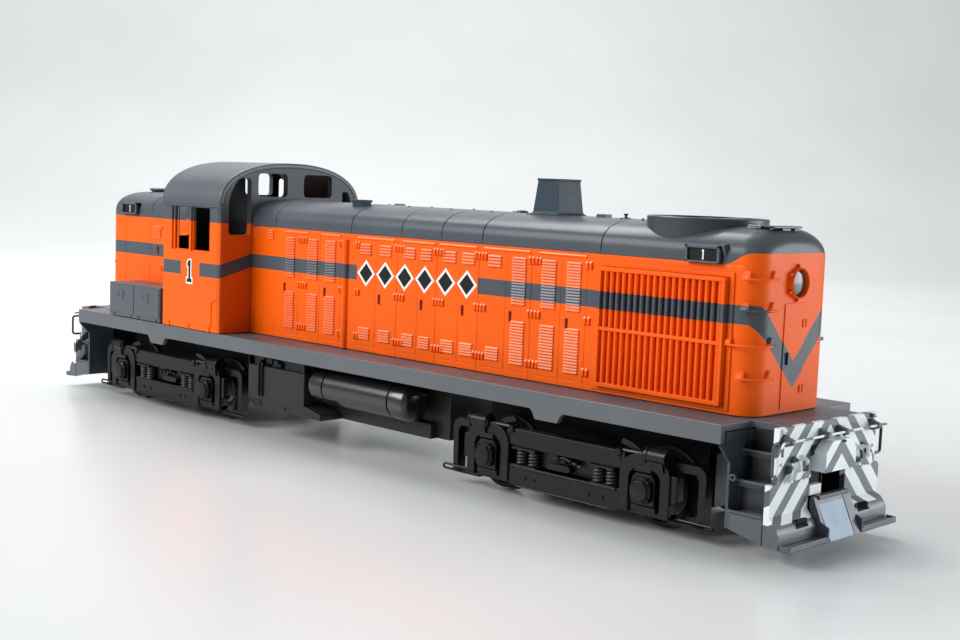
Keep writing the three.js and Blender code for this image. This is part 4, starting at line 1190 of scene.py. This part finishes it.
def end_pieces(word, turn):
    """Everything on one end of the frame, drawn with the pilot's face at x = 0 and then moved out to it."""
    place = turn @ Matrix.Translation((FACE_X, 0, 0))

    def add(name, shape, slot, material, replaces=(), edge=0.0):
        piece(f"{name}_{word}", shape.moved(place), slot, material, replaces, edge)

    skin(f"pilot_{word}", *PILOT_FINISH, 0.25)
    skin(f"footboards_{word}", *GREY_TRIM, 0.3)
    for letter in "ab":
        skin(f"steps_{word}_{letter}", "trim_grey", STEP_PAINT, 0.2)

    lever = Shape().wire([(2.4, -25.6, 31.6), (2.4, 25.6, 31.6)], 0.34, 10)
    lever.wire(filleted([(2.4, -25.6, 31.6), (2.6, -26.8, 31.4), (2.8, -27.2, 28.4)], 0.8), 0.34, 10)
    lever.wire(filleted([(2.4, 0.8, 31.6), (3.2, 0.8, 30.4), (4.4, 0.8, 29.6)], 0.6), 0.4, 10)
    add("lever_bar", lever, *PILOT_FINISH, (f"uncoupling_lever_{word}",))
    brackets = Shape()
    for y in (-22.5, -5.2, 4.2, 21.0):
        profile = [(-0.1, 30.2), (1.0, 30.2), (3.1, 30.9), (3.1, 32.2), (-0.1, 33.2)]
        brackets.prism("y", profile, y - 0.7, y + 0.7)
    add("lever_brackets", brackets, "pilot_stripes", GREY_PAINT, edge=0.12)

    hoses, clamps, boards, rails = Shape(), Shape(), Shape(), Shape()
    for side in (-1, 1):
        for shape in (hoses, clamps, boards, rails):
            shape.side = side
        hose(hoses, 13.4, 26.2, 0.5)
        hose(hoses, 17.4, 26.2, -0.4)
        clamps.prism("x", [(12.2, 21.4), (19.6, 21.4), (19.0, 23.4), (12.6, 23.4)], 0, 2.4)
        clamps.block(0, 1.6, 19.2, 20.4, 20.6, 25.0)
        for y in (11.2, 23.0):
            clamps.rod("x", 0.5, 0, 0.5, y, 25.5, 10)
        clamps.block(0, 0.8, 21.2, 23.4, 33.4, 34.6)
        boards.block(5.95, 6.5, 9.0, 27.0, 5.4, 6.1)
        boards.block(3.4, 6.4, 26.7, 27.3, 5.4, 6.1)
        for y in (12.6, 18.4):
            boards.block(-0.6, 2.4, y - 0.2, y + 0.2, 8.4, 10.8)
        for z, y in ((11.8, 27.3), (19.6, 24.8), (27.2, 21.9)):
            rails.block(-12.4, -2.1, y - 0.3, y, z - 0.1, z + 0.55)
        rails.turned("y", [(0.95, 26.6), (0.95, 27.5), (0.5, 27.5), (0.5, 26.6)], -11.3, 20.8, 16, True)
        rails.rod("x", 0.7, -2.3, -1.6, 25.6, 16.6, 12)
    add("brake_hoses", hoses, *PILOT_FINISH)
    add("hose_clamps", clamps, *PILOT_FINISH, edge=0.3)

    far = filleted([(-0.6, 24.4, 30.6), (-0.3, 28.0, 30.6), (-0.3, 28.0, 23.0), (-0.6, 24.4, 23.0)], 1.2)
    add("grab_bar", Shape().wire(far, 0.42, 10), *BLACK_WIRE, (f"grab_iron_{word}",))
    # Painted highlight: the near bar is the same black part as the far one, coloured grey.
    near = filleted([(-0.6, -24.4, 30.4), (-0.6, -26.0, 30.4), (-0.6, -26.0, 22.6), (-0.6, -24.4, 22.6)], 0.8)
    add("near_grab_bar", Shape().wire(near, 0.4, 10), *GREY_TRIM)

    slope = [(1.2, 14.6), (1.8, 14.6), (6.4, 4.4), (5.8, 4.4)]
    add("chute_plate", Shape().prism("y", slope, -7.4, 4.9), "trim_grey", CHUTE_BLUE, edge=0.15)
    flange = Shape().prism("y", [(1.35, 14.6), (1.95, 14.6), (6.4, 4.4), (5.8, 4.4)], 5.0, 8.8)
    flange.block(0.4, 2.2, -6.9, 8.0, 14.6, 15.7)
    add("chute_flange", flange, *GREY_TRIM, edge=0.15)
    add("footboard_ribs", boards, *GREY_TRIM, edge=0.2)

    pocket = Shape()
    for box in ((-11.5, -10.5, -21.4, 21.4, 7.7, 29.4), (-10.5, -1.8, -9.6, -9.2, 5.0, 29.0),
                (-10.5, -1.8, 9.2, 9.6, 5.0, 29.0), (-3.5, -2.7, -9.2, 9.2, 5.0, 11.0),
                (-5.5, -2.5, -8.6, 0.4, 16.6, 21.6), (-2.7, -2.1, 0.4, 1.0, 16.6, 21.6)):
        pocket.block(*box)
    # Painted shade: the pocket's walls are near black.
    add("coupler_pocket", pocket, *SHADE, edge=0.1)
    tab = Shape().prism("z", [(-1.4, -9.1), (0.4, -9.1), (0.4, -3.4), (-1.4, -2.9)], 15.7, 18.4)
    add("pocket_tab", tab, "pilot_stripes", MARK_WHITE, edge=0.2)
    add("step_rails", rails, *GREY_TRIM, edge=0.08)


for word, turn in ENDS:
    end_pieces(word, turn)


# ---------- trucks ----------
BEAM_Y0, BEAM_Y1 = 23.0, 26.5


def pedestal(shape, x):
    """An arch over an axle end: two legs joined by a round top."""
    outer_half, inner_half, low = 8.6, 5.3, 5.2
    outer_rise, inner_rise = outer_half * 0.62, 3.2
    outer_z, inner_z = 22.2 - outer_rise, 15.2
    outline = [(x + outer_half, low)]
    outline += [(x + outer_half * cos(a), outer_z + outer_rise * sin(a))
                for a in (0, .3, .6, .9, 1.25, 1.57, 1.9, 2.25, 2.55, 2.85, 3.1416)]
    outline += [(x - outer_half, low), (x - inner_half, low)]
    outline += [(x - inner_half * cos(a), inner_z + inner_rise * sin(a))
                for a in (0, .4, .8, 1.2, 1.57, 1.95, 2.35, 2.75, 3.1416)]
    shape.prism("y", outline + [(x + inner_half, low)], BEAM_Y0, BEAM_Y1 + 0.6)


def truck_casting(side):
    """Upper and lower beams, a web behind the springs, and a pedestal and shoulder at each end."""
    shape = Shape(side=side)
    upper = [(-22.5, 21.2), (-20.5, 21.6), (20.5, 21.6), (22.5, 21.2), (22.5, 17.2), (19, 16.3), (-19, 16.3),
             (-22.5, 17.2)]
    lower = [(-24.6, 10.8), (24.6, 10.8), (24.6, 5.6), (17.5, 4.3), (-17.5, 4.3), (-24.6, 5.6)]
    shape.prism("y", upper, BEAM_Y0, BEAM_Y1)
    shape.prism("y", lower, BEAM_Y0, BEAM_Y1)
    shape.prism("y", [(-20, 9.9), (20, 9.9), (20, 10.8), (-20, 10.8)], BEAM_Y0, BEAM_Y1 + 0.5)
    shape.prism("y", [(-17, 4.3), (17, 4.3), (20, 4.9), (-20, 4.9)], BEAM_Y0, BEAM_Y1 + 0.4)
    shape.block(-20, 20, BEAM_Y0 - 0.4, BEAM_Y0 + 0.6, 10.0, 17.0)
    for end in (-1, 1):
        x = end * AXLE_X
        pedestal(shape, x)
        shoulder = [(end * 38.0, 17.5), (end * 40.2, 17.2), (end * 40.2, 10.2), (end * 38.0, 9.2)]
        shape.prism("y", shoulder, BEAM_Y0, BEAM_Y1)
        shape.block(x - 8.6, x + 8.6, BEAM_Y0, BEAM_Y1 - 0.6, 4.8, 7.0)
    return shape


def truck_bearings(side):
    """Journal boxes with eight-sided lids and four bolts each."""
    shape = Shape(side=side)
    x, z = AXLE_X, AXLE_Z + 0.6
    body = [(x - 3.9, z - 4.2), (x + 3.9, z - 4.2), (x + 3.9, z + 3.0), (x + 2.8, z + 4.4),
            (x - 2.8, z + 4.4), (x - 3.9, z + 3.0)]
    lid = [(3.8, 0.8), (3.8, 2.0), (3.2, 2.5), (3.0, 3.2), (1.3, 3.4)]
    for end in (-1, 1):
        shape.end = end
        shape.prism("y", body, BEAM_Y0 - 0.5, BEAM_Y1 + 0.9)
        octagon = Shape(side=side).turned("y", [(r, BEAM_Y1 + rise) for r, rise in lid], sides=8)
        shape.plus(octagon.moved(Matrix.Translation((end * x, 0, z)) @ Matrix.Rotation(pi / 8, 4, "Y")))
        for p, q in circle(3.6, 4, pi / 4):
            shape.rod("y", 0.5, BEAM_Y1 + 0.6, BEAM_Y1 + 2.4, x + p, z + q, 8)
        shape.block(x - 2.8, x + 2.8, BEAM_Y0, BEAM_Y1 + 1.4, 17.2, 18.6)
        shape.block(x - 4.2, x + 4.2, BEAM_Y0, BEAM_Y1 + 0.5, 6.2, 7.6)
    return shape


def truck_springs(side):
    """Four coils with the pins and plates that they stand on."""
    coils, seats = Shape(side=side), Shape(side=side)
    for x in (-17.2, -12.5, 12.2, 16.9):
        coils.coil(x, BEAM_Y1 - 1.6, 10.9, 15.7, 1.45, 0.34, 5)
        seats.rod("z", 0.8, 10.6, 16.0, x, BEAM_Y1 - 1.6, 12)
    for x in (-14.85, 14.55):
        seats.block(x - 4.6, x + 4.6, BEAM_Y1 - 3.4, BEAM_Y1 + 0.9, 15.7, 16.25)
        seats.block(x - 4.6, x + 4.6, BEAM_Y1 - 3.4, BEAM_Y1 + 0.2, 10.5, 11.0)
    return coils, seats


def truck_rigging(side):
    """Brake cylinders with their rods and levers, the link in the window, hangers, shoes and loops."""
    shape, bright = Shape(side=side), Shape(side=side)
    y, z = BEAM_Y1 - 0.4, 21.9
    cylinder = [(1.6, 29.2), (2.5, 30.0), (2.5, 30.9), (2.2, 31.1), (2.2, 36.4), (2.5, 36.6), (2.5, 37.2)]
    lever = [(19.8, 23.6), (20.6, 24.9), (24.0, 24.2), (28.6, 21.7), (28.0, 21.0), (23.5, 22.6)]
    hanger = [(38.0, 20.8), (45.6, 20.8), (47.4, 19.4), (47.8, 17.4), (47.4, 5.0), (45.4, 5.0), (45.6, 16.6),
              (44.6, 18.4), (38.0, 18.4)]
    shoe = [(AXLE_X + 10.95 * cos(a), AXLE_Z + 10.95 * sin(a)) for a in (-0.55, -0.3, 0.0, 0.3, 0.55)]
    shoe += [(AXLE_X + 12.6 * cos(a), AXLE_Z + 12.6 * sin(a)) for a in (0.5, 0.25, 0.0, -0.25, -0.5)]
    loop = [(37.5, 24.4, 5.6), (50.5, 24.4, 5.6), (51.2, 24.4, 4.8), (50.5, 24.4, 4.2), (44.0, 24.4, 4.2)]
    for end in (-1, 1):
        shape.end = bright.end = end
        shape.turned("x", cylinder, y, z, 28)
        shape.prism("y", [(30, 18), (36.5, 18), (35.8, 21), (31, 21)], BEAM_Y0 + 0.5, BEAM_Y1 + 1.2)
        bright.rod("x", 0.45, 21.5, 30.0, y, z, 10)
        shape.prism("y", lever, BEAM_Y1 - 2.0, BEAM_Y1 - 1.2)
        pivot = [(1.15, BEAM_Y1 - 1.4), (1.15, BEAM_Y1 + 0.4), (0.7, BEAM_Y1 + 0.8)]
        shape.turned("y", pivot, 20.4, 21.2, 14)
        shape.wire(filleted([(20.4, y, 21.0), (21.2, y, 18.4), (20.6, y, 16.6)], 1.0), 0.55, 8)
        shape.prism("y", hanger, 20.4, BEAM_Y0 + 0.8)
        shape.prism("y", shoe, 15.8, 19.2)
        shape.wire(filleted(loop, 0.6), 0.36, 8)
        shape.block(36.0, 47.8, 21.4, 23.8, 3.6, 4.7)
    link_bar = [(-7.0, 12.1), (-6.4, 11.6), (1.4, 11.6), (2.0, 12.2), (2.0, 12.9), (1.4, 13.4), (-6.4, 13.4),
                (-7.0, 12.9)]
    shape.prism("y", link_bar, BEAM_Y0 + 0.2, BEAM_Y1 - 0.7)
    for x, z, r in ((-3.0, 15.2, 0.8), (-0.6, 14.6, 0.9), (1.8, 15.1, 0.8), (4.0, 14.8, 0.6)):
        shape.turned("y", [(r, BEAM_Y0), (r, BEAM_Y1 - 1.2), (r * 0.6, BEAM_Y1 - 0.8)], x, z, 12)
    shape.wire([(x, BEAM_Y1 - 1.6, z) for x, z in ((-5, 14.6), (-1, 15.5), (5.5, 13.8))], 0.4, 8)
    for x in (-14.5, -11.0, 10.0, 15.0):
        shape.block(x - 0.45, x + 0.45, BEAM_Y1, BEAM_Y1 + 0.3, 6.8, 7.8)
    return shape, bright


def truck_wheel(side):
    """A plate wheel: coned tread, fillet to the flange, dished plate and hub."""
    profile = [(1.8, 14.9), (10.6, 14.9), (11.35, 15.0), (11.6, 15.25), (11.5, 15.6), (11.05, 15.95),
               (10.75, 16.3), (10.6, 19.2), (10.45, 19.4), (9.2, 19.4), (8.9, 19.0), (8.6, 18.4), (5.0, 17.6),
               (4.2, 18.2), (4.0, 19.2), (3.8, 19.4), (1.8, 19.4)]
    return Shape(side=side).turned("y", profile, sides=72, closed=True)


def truck(word, turn):
    place = turn @ Matrix.Translation((TRUCK_X, 0, 0))
    for letter, side in LETTERS:
        tag = f"{word}_{letter}"

        def add(name, shape, slot, material, replaces=(), edge=0.0, angle=35):
            piece(f"{name}_{tag}", shape.moved(place), slot, material, replaces, edge, angle,
                  body=word + "_truck")

        add("side_casting", truck_casting(side), *CASTING, (f"side_frame_{tag}",), 0.3)
        add("journal_boxes", truck_bearings(side), *CASTING, edge=0.15)
        coils, seats = truck_springs(side)
        add("truck_springs", coils, "truck_casting", COIL_BLACK, angle=60)
        add("spring_seats", seats, *CASTING, edge=0.1)
        rigging, bright = truck_rigging(side)
        add("brake_rigging", rigging, *CASTING, edge=0.12)
        add("piston_rods", bright, "truck_casting", COIL_BLACK)
        # Painted shade: a near-black plate inside the side frame.
        plate = Shape(side=side).block(-41, 41, 13.2, 14.2, 15.2, 25.6)
        add("shade_plate", plate, "truck_casting", SHADE_BLACK, edge=0.2)
    for role, x in (("driven", AXLE_X), ("trailing", -AXLE_X)):
        hub = place @ Matrix.Translation((x, 0, AXLE_Z))
        for letter, side in LETTERS:
            node = f"wheel_{word}_{role}_{letter}"
            piece(node + "_form", truck_wheel(side).moved(hub), "wheel_steel", WHEEL_METAL, (node,), 0.08, 50,
                  body=f"{word}_{role}_wheels")


for word, turn in ENDS:
    truck(word, turn)


# ---------- what stays as the frame has it ----------
def dress(material, *nodes):
    """Gives CAD nodes a better material."""
    for node in nodes:
        data = frame["nodes"][node].data
        data.materials.clear()
        data.materials.append(material)


for end in ("front", "rear"):
    dress(CAST_BLACK, "gearbox_" + end)
    dress(HANDLE_BLACK, "motor_" + end)
    dress(STEEL, "kingpin_" + end, f"axle_{end}_driven", f"axle_{end}_trailing")
    dress(BRASS, "motor_rotor_" + end)
dress(BOARD_GREEN, "circuit_board")


# ---------- camera, stage and light ----------
def camera():
    """Yaw, pitch and roll in degrees, and the place in metres."""
    yaw, pitch, roll = (radians(a) for a in (44.506, -5.704, -2.160))
    forward = Vector((-sin(yaw) * cos(pitch), cos(yaw) * cos(pitch), sin(pitch)))
    level = Vector((cos(yaw), sin(yaw), 0))
    plumb = forward.cross(level)
    right = cos(roll) * level + sin(roll) * plumb
    down = -sin(roll) * level + cos(roll) * plumb
    lens = bpy.data.cameras.new("camera")
    lens.lens = 51.23
    lens.sensor_width = 36
    lens.clip_start = 0.01
    thing = link("camera", lens)
    matrix = Matrix((right, -down, -forward)).transposed().to_4x4()
    matrix.translation = (0.35644, -0.31936, 0.09329)
    thing.matrix_world = matrix
    bpy.context.scene.camera = thing


def stage():
    """A pale glossy table that curves up into the backdrop."""
    reach, rise, bend, steps = 1.9, 1.6, 0.8, 16
    profile = [(-reach, 0.0), (reach - bend, 0.0)]
    for i in range(1, steps + 1):
        angle = pi / 2 * i / steps
        profile.append((reach - bend + bend * sin(angle), bend * (1 - cos(angle))))
    profile += [(reach, rise)]
    mesh = bpy.data.meshes.new("backdrop")
    way, across = Vector((-0.70, 0.71, 0)).normalized(), Vector((0.71, 0.70, 0)).normalized()
    points = [way * a + across * side * 2.6 + Vector((0, 0, z)) for a, z in profile for side in (-1, 1)]
    mesh.from_pydata(points, [], [[2 * i, 2 * i + 1, 2 * i + 3, 2 * i + 2] for i in range(len(profile) - 1)])
    smooth(mesh, 60)
    floor = link("backdrop", mesh)
    r = Recipe("backdrop_white")
    wash = r.eased(r.noise(0.004, 2.0), 0.3, 0.7)
    r.link(r.blend(wash, colour(212, 214, 214), colour(217, 219, 219)), r.shader.inputs["Base Color"])
    r.link(r.eased(r.noise(0.004, 2.0), 0.3, 0.7, 0.25, 0.27), r.shader.inputs["Roughness"])
    floor.data.materials.append(r.material)


def light(name, place, aim, size, power, tint=(1, 1, 1)):
    """A soft panel at a place, aimed at a point, both in metres."""
    lamp = bpy.data.lights.new(name, "AREA")
    lamp.shape = "RECTANGLE"
    lamp.size, lamp.size_y = size
    lamp.energy = power
    lamp.color = tint
    thing = link(name, lamp)
    thing.location = place
    thing.rotation_euler = (Vector(aim) - Vector(place)).to_track_quat("-Z", "Y").to_euler()


def world():
    """A dim bluish room, and plain view colours."""
    scene = bpy.context.scene
    scene.world = bpy.data.worlds.new("studio")
    scene.world.use_nodes = True
    back = scene.world.node_tree.nodes["Background"]
    back.inputs["Color"].default_value = (0.93, 0.96, 1.0, 1)
    back.inputs["Strength"].default_value = 0.33
    scene.view_settings.view_transform = "Standard"
    scene.view_settings.look = "None"


camera()
stage()
world()
light("key", (-0.55, -1.0, 0.70), (0, 0, 0.04), (0.9, 0.6), 16)
light("overhead", (-0.75, 0.25, 1.12), (0, 0, 0.08), (0.9, 0.3), 10)
light("end_card", (0.62, 0.50, 0.16), (0.157, 0, 0.05), (0.5, 0.3), 3, (0.93, 0.97, 1.0))
light("backdrop_wash", (-0.5, 0.25, 1.35), (-1.35, 1.0, 0.45), (1.4, 0.4), 18)
